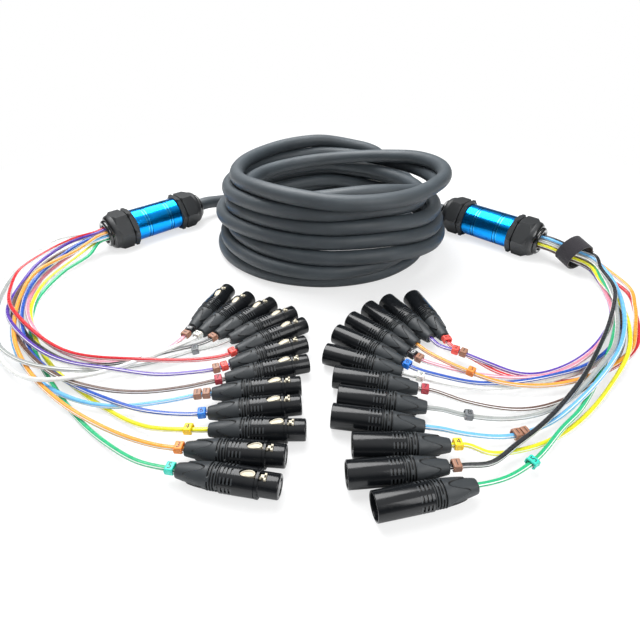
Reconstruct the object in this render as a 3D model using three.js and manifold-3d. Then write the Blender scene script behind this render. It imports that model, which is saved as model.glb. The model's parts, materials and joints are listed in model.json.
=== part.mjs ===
// Twelve channel audio snake: a coiled multicore cable with a fan-out at each end.
// Millimetres, +Z up. The part lies on z = 0, and the two fan-out tubes stand either side of the origin.
import * as THREE from 'three';
import { mergeVertices } from 'three/addons/utils/BufferGeometryUtils.js';
import Module from 'manifold-3d';

// Fan-out tube: an aluminium barrel with a screwed cable gland at each end
const barrel_radius = 19.5;
const barrel_wall = 1.8;
const barrel_length = 60;
const gland_thread_length = 9;
const gland_thread_clearance = 0.3;
const gland_bore_radius = 11;
const hex_across_flats = 42;
const flange_thickness = 6;
const flange_seat_gap = 0.3;
const nut_gap = 1.2;
const nut_hex_length = 13.5;
const nut_dome_length = 15;
const nut_nose_radius = 14;
const nut_wall_at_thread = 5.1;
const nut_thread_clearance = 0.3;
const nut_mouth_radius = 10.4;
const nut_lip_length = 5;
const nut_end_gap = 1;

// Places of the two fan-out tubes on the floor
const splitter_offset_x = 219;
const splitter_offset_y = 10;
const splitter_heading_deg = 44.5;

// Multicore cable and its coil
const trunk_diameter = 15.8;
const turn_gap = 0.4;
const coil_half_width = 120;
const coil_half_depth = 108;
const coil_centre_x = 5;
const coil_centre_y = -10;
const coil_half_turns = 16;
const stations_per_half_turn = 6;
const seal_gap = 0.3;
const seal_length = 5;
const cord_joint_gap = 0.3;

// Tails: one jacketed pair for each channel
const tail_diameter = 3.8;
const tail_gap = 0.35;
const tail_ring_radius = 6.7;
const tail_core_radius = 2.4;
const plug_length = 3.5;
const plug_recess = 2;
const plug_gap = 0.3;
const bundle_hold_length = 16;
const tied_hold_length = 62;
const bundle_spread_length = 60;
const tail_fall_start = 10;
const tail_fall_length = 95;
const boot_rise_length = 45;
const boot_straight_length = 12;
const exit_straight_length = 10;

// Cable connectors
const shell_diameter = 18.9;
const shell_side_count = 12;
const nose_diameter = 16;
const boot_tip_diameter = 10;
const boot_root_diameter = 17.2;
const collar_diameter = 17.8;
const boot_length = 22.5;
const collar_length = 8;
const female_length = 69;
const nose_length = 13;
const ring_length = 2;
const male_length = 67;
const mouth_diameter = 16.2;
const mouth_depth = 15.5;
const pin_diameter = 2.4;
const pin_circle_radius = 4.05;
const pin_recess = 4.5;
const neighbour_gap = 0.4;
const spread_gap_per_degree = 0.06;

// Push latch of a female connector
const latch_width = 5;
const latch_gap = 0.3;
const latch_strip_thickness = 1.3;
const latch_strip_top = 6.9;
const latch_pad_length = 7.8;
const latch_pad_proud = 0.3;
const latch_pad_ring_gap = 0.7;
const latch_tail_length = 4.3;
const latch_tooth_length = 3.6;
const latch_tooth_ring_gap = 1;
const latch_tooth_proud = 1;
const latch_pivot_inset = 1;
const latch_travel_room = 2;

// Hook and loop tie round the right hand tails
const tie_distance = 37;
const tie_inner_radius = 15;
const tie_lift = 4.2;
const tie_turn_deg = -22;
const tie_thickness = 1.5;
const tie_width = 20;
const tie_straight_share = 1;
const tie_side_count = 24;
const tie_flap_start_share = 0.02;
const tie_flap_end_share = 0.3;

// Where the first connector of each fan lies, by the middle of its length
const female_first_x = -107;
const female_first_y = -178;
const male_first_x = 103;
const male_first_y = -192;

// Direction of each connector from boot to mouth, channels 1 to 12, and how far each
// one lies ahead of the one before, as a share of its length
const female_headings_deg = [71, 58, 48, 36, 33, 24, 16, 7, 7, 0, -5, -10];
const female_advance_shares = [0, -0.04, 0.09, 0.08, -0.02, -0.17, -0.09, -0.15, -0.02, 0.04, -0.17, 0.01];
const male_headings_deg = [106, 119, 125, 135, 144, 159, 168, 170, 171, 180, 185, 192];
const male_advance_shares = [0, 0.05, 0, -0.04, -0.04, -0.06, -0.21, -0.1, 0.03, -0.23, 0.09, -0.18];

// How far the coil lies outside its ellipse at each quarter turn, as shares of the spacing of
// two turns: back, right, front and left of each turn, and the back where the last one ends
const turn_offset_shares = [
  0.8, 0.2, 0.3, 0.45,
  0.1, -0.3, 0.8, 0.1,
  0.8, 1.5, 0.7, -0.5,
  0.1, 1.2, 0.4, 0.3,
  0.8, 0.9, 0.35, -0.5,
  0.1, -0.3, 0.5, -0.3,
  0.7, 0.3, -0.2, -0.9,
  -0.9, -0.2, 1.05, 0.1,
  1.3,
];
const top_shift_share = 1.2;
const top_shift_start_share = 0.66;
const top_shift_end_share = 0.94;

// Routes of the multicore between the coil and the two fan-out tubes
const left_lead_route = [[-131, 92], [-95, 110], [-50, 120]];
const right_lead_route = [[80, 109], [117, 89], [148, 61]];

// Routes of the tails from the gland to the boot, channels 1 to 12
const left_tail_routes = [
  [[-292, -72], [-308, -112], [-296, -165], [-262, -214], [-214, -243], [-172, -251], [-140, -244]],
  [[-332, -36], [-356, -92], [-338, -165], [-290, -234], [-234, -277], [-188, -277], [-145, -254]],
  [[-300, -68], [-318, -116], [-301, -175], [-262, -224], [-210, -252], [-166, -254], [-122, -240]],
  [[-319, -48], [-346, -92], [-330, -165], [-290, -228], [-240, -262], [-199, -267], [-150, -257],
    [-112, -242]],
  [[-300, -50], [-322, -66], [-339, -100], [-325, -146], [-303, -180], [-266, -214], [-225, -240],
    [-190, -252], [-149, -259], [-106, -256]],
  [[-306, -60], [-325, -90], [-321, -146], [-308, -180], [-279, -215], [-236, -247], [-193, -265],
    [-138, -274], [-104, -270]],
  [[-290, -58], [-314, -88], [-316, -144], [-292, -200], [-252, -245], [-209, -276], [-172, -287],
    [-140, -289], [-105, -285]],
  [[-294, -75], [-313, -135], [-290, -208], [-246, -261], [-197, -293], [-160, -303], [-118, -300]],
  [[-292, -76], [-307, -122], [-289, -188], [-253, -241], [-209, -274], [-174, -293], [-135, -309]],
  [[-286, -78], [-300, -120], [-292, -166], [-274, -201], [-252, -231], [-222, -261], [-168, -300],
    [-125, -323]],
  [[-282, -76], [-309, -118], [-302, -166], [-275, -225], [-242, -265], [-198, -300], [-159, -322],
    [-125, -337]],
  [[-272, -76], [-290, -105], [-296, -146], [-282, -190], [-259, -229], [-224, -270], [-180, -313],
    [-147, -338], [-122, -353]],
];
const right_tail_routes = [
  [[318, -110], [328, -140], [318, -172], [286, -229], [234, -264], [184, -274], [150, -266], [132, -252]],
  [[308, -118], [295, -170], [256, -221], [209, -255], [168, -267], [140, -258], [120, -246]],
  [[321, -112], [328, -142], [317, -171], [301, -200], [274, -238], [232, -267], [184, -282],
    [144, -282], [116, -266]],
  [[304, -130], [290, -178], [252, -228], [206, -261], [170, -272], [135, -270], [104, -262]],
  [[308, -128], [300, -175], [264, -228], [228, -256], [198, -270], [168, -278], [128, -280], [96, -272]],
  [[313, -124], [306, -175], [268, -228], [224, -260], [188, -274], [149, -282], [108, -282]],
  [[304, -138], [292, -192], [262, -242], [218, -278], [182, -297], [150, -304], [112, -300]],
  [[300, -138], [284, -192], [254, -242], [220, -275], [196, -294], [168, -308], [136, -315], [108, -314]],
  [[309, -112], [306, -149], [290, -195], [265, -235], [227, -276], [189, -306], [165, -320], [132, -331],
    [104, -331]],
  [[300, -132], [298, -178], [286, -213], [264, -248], [232, -282], [202, -308], [172, -328], [140, -342],
    [115, -347]],
  [[301, -124], [296, -160], [271, -204], [233, -252], [204, -284], [166, -318], [136, -340], [112, -356]],
  [[300, -134], [293, -176], [269, -218], [230, -269], [198, -305], [175, -324], [146, -350], [124, -364]],
];

// Order in which the tails were laid down, lowest first, and the hole of the gland's seal that
// each one leaves by: o for the outer ring, i for the inner, and its angle from the outer side
const left_laying_order = [12, 10, 1, 3, 8, 9, 7, 11, 4, 2, 6, 5];
const left_slots = [
  'i-90', 'o30', 'o-50', 'o-10', 'o70', 'o110', 'i30', 'o-170', 'i150', 'o-90', 'o150', 'o-130',
];
const right_laying_order = [1, 2, 4, 6, 5, 7, 3, 10, 12, 8, 9, 11];
const right_slots = [
  'o-50', 'o-90', 'o30', 'i-90', 'i30', 'o-10', 'o-130', 'o150', 'o110', 'o-170', 'o70', 'i150',
];

// Finishes
const finishes = {
  anodised: { color: 0x1080e0, roughness: 0.25, metalness: 0.8 },
  nylon: { color: 0x1b1c1e, roughness: 0.4, metalness: 0 },
  rubber: { color: 0x26272a, roughness: 0.7, metalness: 0 },
  jacket: { color: 0x3a3d40, roughness: 0.6, metalness: 0 },
  tails: { color: 0xd8dadc, roughness: 0.35, metalness: 0 },
  shell: { color: 0x121316, roughness: 0.25, metalness: 0.4 },
  latch: { color: 0xc9c2b4, roughness: 0.3, metalness: 0.9 },
  webbing: { color: 0x2b2a30, roughness: 0.9, metalness: 0 },
};

// Counts of the faceted shapes
const barrel_sides = 28;
const gland_sides = 20;
const seal_sides = 14;
const dome_steps = 3;
const pin_sides = 6;
const hex_sides = 6;
const length_divisions_per_point = 12;
const held_lead_share = 1.2;
const coil_tube_sides = 6;
const lead_tube_sides = 8;
const tail_tube_sides = 6;
const loop_stride = 2;
const tail_near_count = 5;
const tail_far_stride = 9;
const samples_per_turn = 48;
const tail_samples = 117;
const tail_near_stride = 4;
const settle_rounds = 700;
const weld_distance = 1e-4;
const gap_stations_per_point = 2;
const gap_skip_share = 3;
const settle_sag_share = 0.006;

const wasm = await Module();
wasm.setup();

const part = new THREE.Group();

// Solids by joining and cutting
function toSolid(geometry) {
  const bare = geometry.clone();
  bare.deleteAttribute('normal');
  bare.deleteAttribute('uv');
  const merged = mergeVertices(bare, weld_distance);
  return new wasm.Manifold(new wasm.Mesh({
    numProp: 3,
    vertProperties: new Float32Array(merged.attributes.position.array),
    triVerts: new Uint32Array(merged.index.array),
  }));
}

function toGeometry(solid) {
  const mesh = solid.getMesh();
  const geometry = new THREE.BufferGeometry();
  const places = new Float32Array(mesh.numVert * 3);
  for (let i = 0; i < mesh.numVert; i += 1) {
    for (let k = 0; k < 3; k += 1) {
      places[3 * i + k] = mesh.vertProperties[mesh.numProp * i + k];
    }
  }
  geometry.setAttribute('position', new THREE.BufferAttribute(places, 3));
  geometry.setIndex(new THREE.BufferAttribute(new Uint32Array(mesh.triVerts), 1));
  return geometry;
}

// A turned shape about the X axis, from [x, radius] points that run from the low end to the high end
function turned(profile, sides) {
  const points = profile.map(([x, r]) => new THREE.Vector2(r, x));
  const geometry = new THREE.LatheGeometry(points, sides);
  geometry.rotateZ(-Math.PI / 2);
  geometry.rotateX(Math.PI / 2);
  return geometry;
}

function turnedRing(x0, x1, inner, outer, sides) {
  return turned([[x0, inner], [x0, outer], [x1, outer], [x1, inner], [x0, inner]], sides);
}

function turnedRod(x0, x1, radius, sides) {
  return turned([[x0, 0], [x0, radius], [x1, radius], [x1, 0]], sides);
}

// A hexagonal bar along X with a flat facing down
function hexBar(x0, x1, across_flats) {
  const corner_radius = across_flats / 2 / Math.cos(Math.PI / hex_sides);
  const bar = new THREE.CylinderGeometry(corner_radius, corner_radius, x1 - x0, hex_sides);
  bar.rotateZ(-Math.PI / 2);
  bar.rotateX(Math.PI / hex_sides);
  bar.translate((x0 + x1) / 2, 0, 0);
  return bar;
}

function box(x0, x1, half_width, z0, z1) {
  const block = new THREE.BoxGeometry(x1 - x0, half_width * 2, z1 - z0);
  block.translate((x0 + x1) / 2, 0, (z0 + z1) / 2);
  return block;
}

function addMesh(parent, name, geometry, finish) {
  const mesh = new THREE.Mesh(geometry, new THREE.MeshStandardMaterial(finishes[finish]));
  mesh.name = name;
  parent.add(mesh);
  return mesh;
}

// Fan-out tube, along X, with its tail end at +X and its multicore end at -X
const half_barrel = barrel_length / 2;
const barrel_bore_radius = barrel_radius - barrel_wall;
const hex_radius = hex_across_flats / 2;
const nut_thread_radius = hex_radius - nut_wall_at_thread;
const flange_end = flange_seat_gap + flange_thickness;
const nut_start = flange_end + nut_gap;
const nut_hex_end = nut_start + nut_hex_length;
const nut_end = nut_hex_end + nut_dome_length;
const lip_start = nut_end - nut_lip_length;
const splitter_reach = half_barrel + nut_end;
const splitter_height = hex_radius;

function glandBody() {
  const stub_radius = nut_thread_radius - nut_thread_clearance;
  const stub_end = lip_start - nut_end_gap - (nut_thread_radius - nut_mouth_radius) / 2;
  const thread = turnedRod(-gland_thread_length, flange_end - flange_thickness / 2,
    barrel_bore_radius - gland_thread_clearance, gland_sides);
  const stub = turnedRod(flange_end - flange_thickness / 2, stub_end, stub_radius, gland_sides);
  const flange = hexBar(flange_seat_gap, flange_end, hex_across_flats);
  const overrun = gland_thread_length;
  const bore = turnedRod(-gland_thread_length - overrun, stub_end + overrun, gland_bore_radius, gland_sides);
  return toGeometry(toSolid(thread).add(toSolid(stub)).add(toSolid(flange)).subtract(toSolid(bore)));
}

function domeNut() {
  const corner_radius = hex_radius / Math.cos(Math.PI / hex_sides);
  const outline = [[nut_start, 0], [nut_start, corner_radius], [nut_hex_end, corner_radius]];
  for (let i = 1; i <= dome_steps; i += 1) {
    const turn = (i / dome_steps) * (Math.PI / 2);
    outline.push([nut_hex_end + nut_dome_length * Math.sin(turn),
      nut_nose_radius + (corner_radius - nut_nose_radius) * Math.cos(turn)]);
  }
  outline.push([nut_end, 0]);
  const overrun = nut_lip_length;
  const taper_start = lip_start - (nut_thread_radius - nut_mouth_radius) / 2;
  const hollow = turned([[nut_start - overrun, 0], [nut_start - overrun, nut_thread_radius],
    [taper_start, nut_thread_radius], [lip_start, nut_mouth_radius],
    [nut_end + overrun, nut_mouth_radius], [nut_end + overrun, 0]], gland_sides);
  const hex = hexBar(nut_start, nut_end, hex_across_flats);
  return toGeometry(toSolid(turned(outline, gland_sides)).intersect(toSolid(hex)).subtract(toSolid(hollow)));
}

const trunk_radius = trunk_diameter / 2;
const core_end = half_barrel + nut_end - plug_recess - plug_length - plug_gap;

function addSplitter(side, place) {
  const barrel = turnedRing(-half_barrel, half_barrel, barrel_bore_radius, barrel_radius, barrel_sides);
  addMesh(place, `${side}_fanout_barrel`, barrel, 'anodised');
  for (const [end, facing] of [['tail', 1], ['trunk', -1]]) {
    const holder = new THREE.Group();
    holder.position.x = facing * half_barrel;
    holder.rotation.z = facing > 0 ? 0 : Math.PI;
    place.add(holder);
    addMesh(holder, `${side}_${end}_gland_body`, glandBody(), 'nylon');
    addMesh(holder, `${side}_${end}_gland_nut`, domeNut(), 'nylon');
    if (facing < 0) {
      const seal = turnedRing(nut_end - seal_length, nut_end, trunk_radius + seal_gap,
        nut_mouth_radius - seal_gap, seal_sides);
      addMesh(holder, `${side}_trunk_gland_seal`, seal, 'rubber');
    }
  }
  const core = turnedRod(-splitter_reach, core_end, trunk_radius, seal_sides);
  addMesh(place, `${side}_core_bundle`, core, 'jacket');
}

// Connectors, along X from the end of the boot at x = 0 to the mating face
const shell_radius = shell_diameter / 2;
const nose_radius = nose_diameter / 2;
const collar_end = boot_length + collar_length;
const ring_end = female_length - nose_length;
const ring_start = ring_end - ring_length;
const latch_pad_end = ring_start - latch_pad_ring_gap;
const latch_pad_start = latch_pad_end - latch_pad_length;
const latch_rear = latch_pad_start - latch_tail_length;
const latch_tooth_start = ring_end + latch_tooth_ring_gap;
const latch_tooth_end = latch_tooth_start + latch_tooth_length;
const latch_strip_bottom = latch_strip_top - latch_strip_thickness;
const latch_pivot_x = latch_rear + latch_pivot_inset;
const latch_pivot_z = (latch_strip_top + latch_strip_bottom) / 2;

function bootProfile() {
  return [[0, 0], [0, boot_tip_diameter / 2], [boot_length, boot_root_diameter / 2],
    [collar_end, collar_diameter / 2], [collar_end, shell_radius]];
}

function pinPlaces() {
  return [-90, 30, 150].map((angle) => {
    const turn = THREE.MathUtils.degToRad(angle);
    return [pin_circle_radius * Math.cos(turn), pin_circle_radius * Math.sin(turn)];
  });
}

function femaleConnector() {
  const profile = [...bootProfile(), [ring_end, shell_radius], [ring_end, nose_radius],
    [female_length, nose_radius], [female_length, 0]];
  let solid = toSolid(turned(profile, shell_side_count));
  const channel_half = latch_width / 2 + latch_gap;
  const channel_floor = latch_strip_bottom - latch_travel_room;
  const overrun = ring_length / 2;
  const open_top = shell_radius + overrun;
  const cuts = [
    box(latch_rear - latch_gap, ring_start, channel_half, channel_floor, open_top),
    box(ring_start - overrun, ring_end + overrun, channel_half, channel_floor, latch_strip_top + latch_gap),
    box(ring_end, latch_tooth_end + latch_gap, channel_half, channel_floor, open_top),
  ];
  for (const cut of cuts) {
    solid = solid.subtract(toSolid(cut));
  }
  return toGeometry(solid);
}

function latch() {
  const pad_top = shell_radius + latch_pad_proud;
  const tooth_top = nose_radius + latch_tooth_proud;
  const outline = new THREE.Shape([
    [latch_rear, latch_strip_bottom], [latch_tooth_end, latch_strip_bottom],
    [latch_tooth_end, tooth_top], [latch_tooth_start, tooth_top], [latch_tooth_start, latch_strip_top],
    [latch_pad_end, latch_strip_top], [latch_pad_end, pad_top], [latch_pad_start, pad_top],
    [latch_pad_start, latch_strip_top], [latch_rear, latch_strip_top],
  ].map(([x, z]) => new THREE.Vector2(x, z)));
  const geometry = new THREE.ExtrudeGeometry(outline, { depth: latch_width, bevelEnabled: false });
  geometry.translate(0, 0, -latch_width / 2);
  geometry.rotateX(Math.PI / 2);
  return geometry;
}

function maleConnector() {
  const mouth_floor = male_length - mouth_depth;
  const profile = [...bootProfile(), [male_length, shell_radius], [male_length, mouth_diameter / 2],
    [mouth_floor, mouth_diameter / 2], [mouth_floor, 0]];
  let solid = toSolid(turned(profile, shell_side_count));
  for (const [y, z] of pinPlaces()) {
    const pin = turnedRod(mouth_floor - pin_diameter, male_length - pin_recess, pin_diameter / 2, pin_sides);
    pin.translate(0, y, z);
    solid = solid.add(toSolid(pin));
  }
  return toGeometry(solid);
}

// Places of a fan of connectors: each lies beside the one before, a shell and a gap away, and
// further where the two point apart
function fanPlaces(first_x, first_y, headings_deg, advance_shares, length, side) {
  const places = [];
  const middle = new THREE.Vector2(first_x, first_y);
  headings_deg.forEach((heading_deg, i) => {
    if (i > 0) {
      const mean = THREE.MathUtils.degToRad((heading_deg + headings_deg[i - 1]) / 2);
      const spread = Math.abs(heading_deg - headings_deg[i - 1]) * spread_gap_per_degree;
      const ahead = advance_shares[i] * length;
      const aside = side * (shell_diameter + neighbour_gap + spread);
      middle.x += ahead * Math.cos(mean) + aside * Math.sin(mean);
      middle.y += ahead * Math.sin(mean) - aside * Math.cos(mean);
    }
    const heading = THREE.MathUtils.degToRad(heading_deg);
    const along = new THREE.Vector2(Math.cos(heading), Math.sin(heading));
    const boot = middle.clone().addScaledVector(along, -length / 2);
    places.push({ heading, along, boot });
  });
  return places;
}

// Strands: a strand keeps the plan of its route, and rests on the floor and on what was laid before
function supportAt(point, a, b, spacing) {
  const dx = b.x - a.x;
  const dy = b.y - a.y;
  const t = THREE.MathUtils.clamp(((point.x - a.x) * dx + (point.y - a.y) * dy) / (dx * dx + dy * dy), 0, 1);
  const away = Math.hypot(point.x - a.x - t * dx, point.y - a.y - t * dy);
  return away < spacing ? { t, lift: Math.sqrt(spacing * spacing - away * away) } : null;
}

function settle(points, pinned, laid, spacing, skip) {
  const sag = spacing * settle_sag_share;
  const base = points.map((point) => point.z);
  const onSelf = points.map(() => []);
  points.forEach((point, i) => {
    for (const strand of laid) {
      for (let j = 0; j + 1 < strand.length; j += 1) {
        const support = supportAt(point, strand[j], strand[j + 1], spacing);
        if (support && !pinned[i]) {
          const height = THREE.MathUtils.lerp(strand[j].z, strand[j + 1].z, support.t) + support.lift;
          base[i] = Math.max(base[i], height);
        }
      }
    }
    for (let j = 0; j + 1 < i - skip; j += 1) {
      const support = supportAt(point, points[j], points[j + 1], spacing);
      if (support) {
        onSelf[i].push({ j, ...support });
      }
    }
  });
  for (let round = 0; round < settle_rounds; round += 1) {
    for (let i = 1; i + 1 < points.length; i += 1) {
      if (!pinned[i]) {
        let height = Math.max(base[i], (points[i - 1].z + points[i + 1].z) / 2 - sag);
        for (const { j, t, lift } of onSelf[i]) {
          height = Math.max(height, THREE.MathUtils.lerp(points[j].z, points[j + 1].z, t) + lift);
        }
        points[i].z = height;
      }
    }
  }
}

function smoothCurve(points) {
  const curve = new THREE.CatmullRomCurve3(points, false, 'centripetal');
  curve.arcLengthDivisions = points.length * length_divisions_per_point;
  return curve;
}

// A tube with one ring of corners at each of its route's points
function tube(points, diameter, sides) {
  const section = new THREE.Shape();
  for (let i = 0; i < sides; i += 1) {
    const turn = (i / sides) * 2 * Math.PI;
    const x = (diameter / 2) * Math.cos(turn);
    const y = (diameter / 2) * Math.sin(turn);
    if (i === 0) {
      section.moveTo(x, y);
    } else {
      section.lineTo(x, y);
    }
  }
  const route = smoothCurve(points);
  route.getUtoTmapping = (share) => share;
  return new THREE.ExtrudeGeometry(section, {
    steps: points.length - 1, bevelEnabled: false, extrudePath: route,
  });
}

// Fewer points of a settled strand: close together on its first stretch, wider apart after it
function thinned(points, near_count, near_stride, far_stride) {
  const kept = [];
  let i = 0;
  while (i < points.length - 1 - far_stride / 2) {
    kept.push(points[i]);
    i += kept.length <= near_count ? near_stride : far_stride;
  }
  kept.push(points[points.length - 1]);
  return kept;
}

const splitter_heading = THREE.MathUtils.degToRad(splitter_heading_deg);
const left_tail_heading = splitter_heading + Math.PI;
const right_tail_heading = -splitter_heading;

function splitterPoint(side_sign, tail_heading, distance) {
  return new THREE.Vector3(
    side_sign * splitter_offset_x + distance * Math.cos(tail_heading),
    -side_sign * splitter_offset_y + distance * Math.sin(tail_heading),
    splitter_height,
  );
}

// Multicore: from the left tube, eight turns clockwise up the coil, and down behind it to the right tube
const turn_spacing = trunk_diameter + turn_gap;

const turn_offsets = new THREE.SplineCurve(turn_offset_shares.map((share) => new THREE.Vector2(share, 0)));

function coilPlan(half_turns) {
  const angle = half_turns * Math.PI;
  const up_share = half_turns / coil_half_turns;
  const offset = turn_spacing * turn_offsets.getPoint(up_share).x;
  const shift = turn_spacing * top_shift_share
    * THREE.MathUtils.smoothstep(up_share, top_shift_start_share, top_shift_end_share);
  return new THREE.Vector3(
    coil_centre_x + shift + (coil_half_width + offset) * Math.sin(angle),
    coil_centre_y + (coil_half_depth + offset) * Math.cos(angle),
    trunk_radius,
  );
}

function trunkPath() {
  const flat = ([x, y]) => new THREE.Vector3(x, y, trunk_radius);
  const plan = [
    splitterPoint(-1, left_tail_heading, -splitter_reach),
    splitterPoint(-1, left_tail_heading, -splitter_reach - trunk_diameter),
    ...left_lead_route.map(flat),
  ];
  for (let i = 0; i <= coil_half_turns * stations_per_half_turn; i += 1) {
    plan.push(coilPlan(i / stations_per_half_turn));
  }
  plan.push(
    ...right_lead_route.map(flat),
    splitterPoint(1, right_tail_heading, -splitter_reach - trunk_diameter),
    splitterPoint(1, right_tail_heading, -splitter_reach),
  );
  const flat_plan = plan.map((point) => new THREE.Vector3(point.x, point.y, 0));
  const curve = smoothCurve(flat_plan);
  const turn_length = Math.PI * (coil_half_width + coil_half_depth);
  const count = Math.round((curve.getLength() / turn_length) * samples_per_turn);
  const points = curve.getSpacedPoints(count);
  const straight = trunk_diameter * held_lead_share;
  const pinned = points.map((point) => {
    const near = [plan[0], plan[plan.length - 1]].some((end) => {
      return Math.hypot(point.x - end.x, point.y - end.y) < straight;
    });
    point.z = near ? splitter_height : trunk_radius;
    return near;
  });
  settle(points, pinned, [], turn_spacing, samples_per_turn / 2);
  const nearest = (target, from, to) => {
    let best = from;
    for (let i = from; i <= to; i += 1) {
      if (points[i].distanceToSquared(target.setZ(points[i].z))
        < points[best].distanceToSquared(target.setZ(points[best].z))) {
        best = i;
      }
    }
    return best;
  };
  const start = nearest(coilPlan(0), 1, samples_per_turn / 2);
  const end = nearest(coilPlan(coil_half_turns), points.length - samples_per_turn / 2, points.length - 2);
  return { points, start, end };
}

function alongAt(points, index) {
  const from = points[Math.max(index - 1, 0)];
  const to = points[Math.min(index + 1, points.length - 1)];
  return to.clone().sub(from).normalize();
}

// The cable between two of its points, straight for one diameter at each end
function stretch(points, from, to, stride, start_gap, end_gap) {
  const skip = Math.ceil(trunk_diameter / points[from].distanceTo(points[from + 1]));
  const start_along = alongAt(points, from);
  const end_along = alongAt(points, to);
  return [
    points[from].clone().addScaledVector(start_along, start_gap),
    points[from].clone().addScaledVector(start_along, trunk_diameter),
    ...thinned(points.slice(from + skip, to - skip + 1), 0, stride, stride),
    points[to].clone().addScaledVector(end_along, -trunk_diameter),
    points[to].clone().addScaledVector(end_along, -end_gap),
  ];
}

function leastSelfGap(points, diameter) {
  let least = Infinity;
  const curve = smoothCurve(points);
  const count = points.length * gap_stations_per_point;
  const stations = curve.getSpacedPoints(count);
  const apart = Math.ceil((diameter * gap_skip_share * count) / curve.getLength());
  for (let i = 0; i < stations.length; i += 1) {
    for (let j = i + apart; j < stations.length; j += 1) {
      least = Math.min(least, stations[i].distanceTo(stations[j]) - diameter);
    }
  }
  return least;
}

// Tails of one fan: twelve cords that leave the seal of the gland as one bundle
function slotPlace(slot) {
  const radius = slot[0] === 'o' ? tail_ring_radius : tail_core_radius;
  const turn = THREE.MathUtils.degToRad(Number(slot.slice(1)));
  return [radius * Math.cos(turn), radius * Math.sin(turn)];
}

function bundleHeight(gone) {
  const fall = THREE.MathUtils.smoothstep(gone, tail_fall_start, tail_fall_start + tail_fall_length);
  return THREE.MathUtils.lerp(splitter_height, tail_diameter / 2, fall);
}

function tailPaths(side_sign, tail_heading, routes, slots, order, places, hold_length, via) {
  const along = new THREE.Vector3(Math.cos(tail_heading), Math.sin(tail_heading), 0);
  const outward = new THREE.Vector3(side_sign * -along.y, side_sign * along.x, 0);
  const seal_point = splitterPoint(side_sign, tail_heading, splitter_reach - plug_recess - plug_length / 2);
  const mouth = splitterPoint(side_sign, tail_heading, splitter_reach);
  const tail_radius = tail_diameter / 2;
  const laid = [];
  const paths = [];
  for (const channel of order) {
    const [aside, above] = slotPlace(slots[channel - 1]);
    const { boot, along: boot_along } = places[channel - 1];
    const end = new THREE.Vector3(boot.x, boot.y, 0).addScaledVector(
      new THREE.Vector3(boot_along.x, boot_along.y, 0), -cord_joint_gap);
    const plan = [seal_point, mouth.clone(), mouth.clone().addScaledVector(along, exit_straight_length)];
    for (const distance of via) {
      plan.push(mouth.clone().addScaledVector(along, distance));
    }
    const shifted = plan.map((point) => point.clone().addScaledVector(outward, aside).setZ(0));
    for (const [x, y] of routes[channel - 1]) {
      shifted.push(new THREE.Vector3(x, y, 0));
    }
    shifted.push(end.clone().addScaledVector(new THREE.Vector3(boot_along.x, boot_along.y, 0),
      -boot_straight_length), end);
    const curve = smoothCurve(shifted);
    const points = curve.getSpacedPoints(tail_samples);
    const length = curve.getLength();
    const pinned = points.map((point, i) => {
      const gone = (i / tail_samples) * length;
      const left = length - gone;
      const spread = THREE.MathUtils.smoothstep(gone, hold_length, hold_length + bundle_spread_length);
      const low = bundleHeight(gone) + above * (1 - spread);
      const rise_length = boot_rise_length - boot_straight_length;
      const rise = THREE.MathUtils.smoothstep(boot_rise_length - left, 0, rise_length);
      point.z = Math.max(tail_radius, low, THREE.MathUtils.lerp(tail_radius, shell_radius, rise));
      return gone < hold_length || left < boot_straight_length;
    });
    settle(points, pinned, laid, tail_diameter + tail_gap, tail_samples);
    laid.push(points);
    const into_boot = points[points.length - 1].clone().addScaledVector(
      new THREE.Vector3(boot_along.x, boot_along.y, 0), -boot_straight_length);
    const free = points.filter((point) => point.distanceTo(into_boot) > boot_straight_length
      && point.distanceTo(points[points.length - 1]) > boot_straight_length * 2);
    paths[channel - 1] = [
      ...thinned(free, tail_near_count, tail_near_stride, tail_far_stride),
      into_boot,
      points[points.length - 1],
    ];
  }
  return paths;
}

function fanBody(side_sign, tail_heading, paths) {
  const plug = turnedRod(-plug_length / 2, plug_length / 2, nut_mouth_radius - plug_gap, seal_sides);
  const centre = splitterPoint(side_sign, tail_heading, splitter_reach - plug_recess - plug_length / 2);
  plug.rotateZ(tail_heading);
  plug.translate(centre.x, centre.y, centre.z);
  let solid = toSolid(plug);
  for (const points of paths) {
    solid = solid.add(toSolid(tube(points, tail_diameter, tail_tube_sides)));
  }
  return toGeometry(solid);
}

// Hook and loop tie: a strap wound once round the bundle, with its end lapped over itself
function tieStrap() {
  const outline = new THREE.Shape();
  const hole = new THREE.Path();
  for (let i = 0; i < tie_side_count; i += 1) {
    const share = i / tie_side_count;
    const lapped = share > tie_flap_start_share && share < tie_flap_end_share;
    const radius = tie_inner_radius + tie_thickness * (lapped ? 2 : 1);
    const turn = share * 2 * Math.PI;
    const corner = [radius * Math.cos(turn), radius * Math.sin(turn)];
    const inner = [tie_inner_radius * Math.cos(turn), tie_inner_radius * Math.sin(turn)];
    if (i === 0) {
      outline.moveTo(...corner);
      hole.moveTo(...inner);
    } else {
      outline.lineTo(...corner);
      hole.lineTo(...inner);
    }
  }
  outline.holes.push(hole);
  const strap = new THREE.ExtrudeGeometry(outline, { depth: tie_width, bevelEnabled: false });
  strap.translate(0, 0, -tie_width / 2);
  strap.rotateY(Math.PI / 2);
  return strap;
}

// The two fan-out tubes
for (const [side, sign, heading] of [['left', -1, left_tail_heading], ['right', 1, right_tail_heading]]) {
  const place = new THREE.Group();
  place.position.copy(splitterPoint(sign, heading, 0));
  place.rotation.z = heading;
  part.add(place);
  addSplitter(side, place);
}

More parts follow.
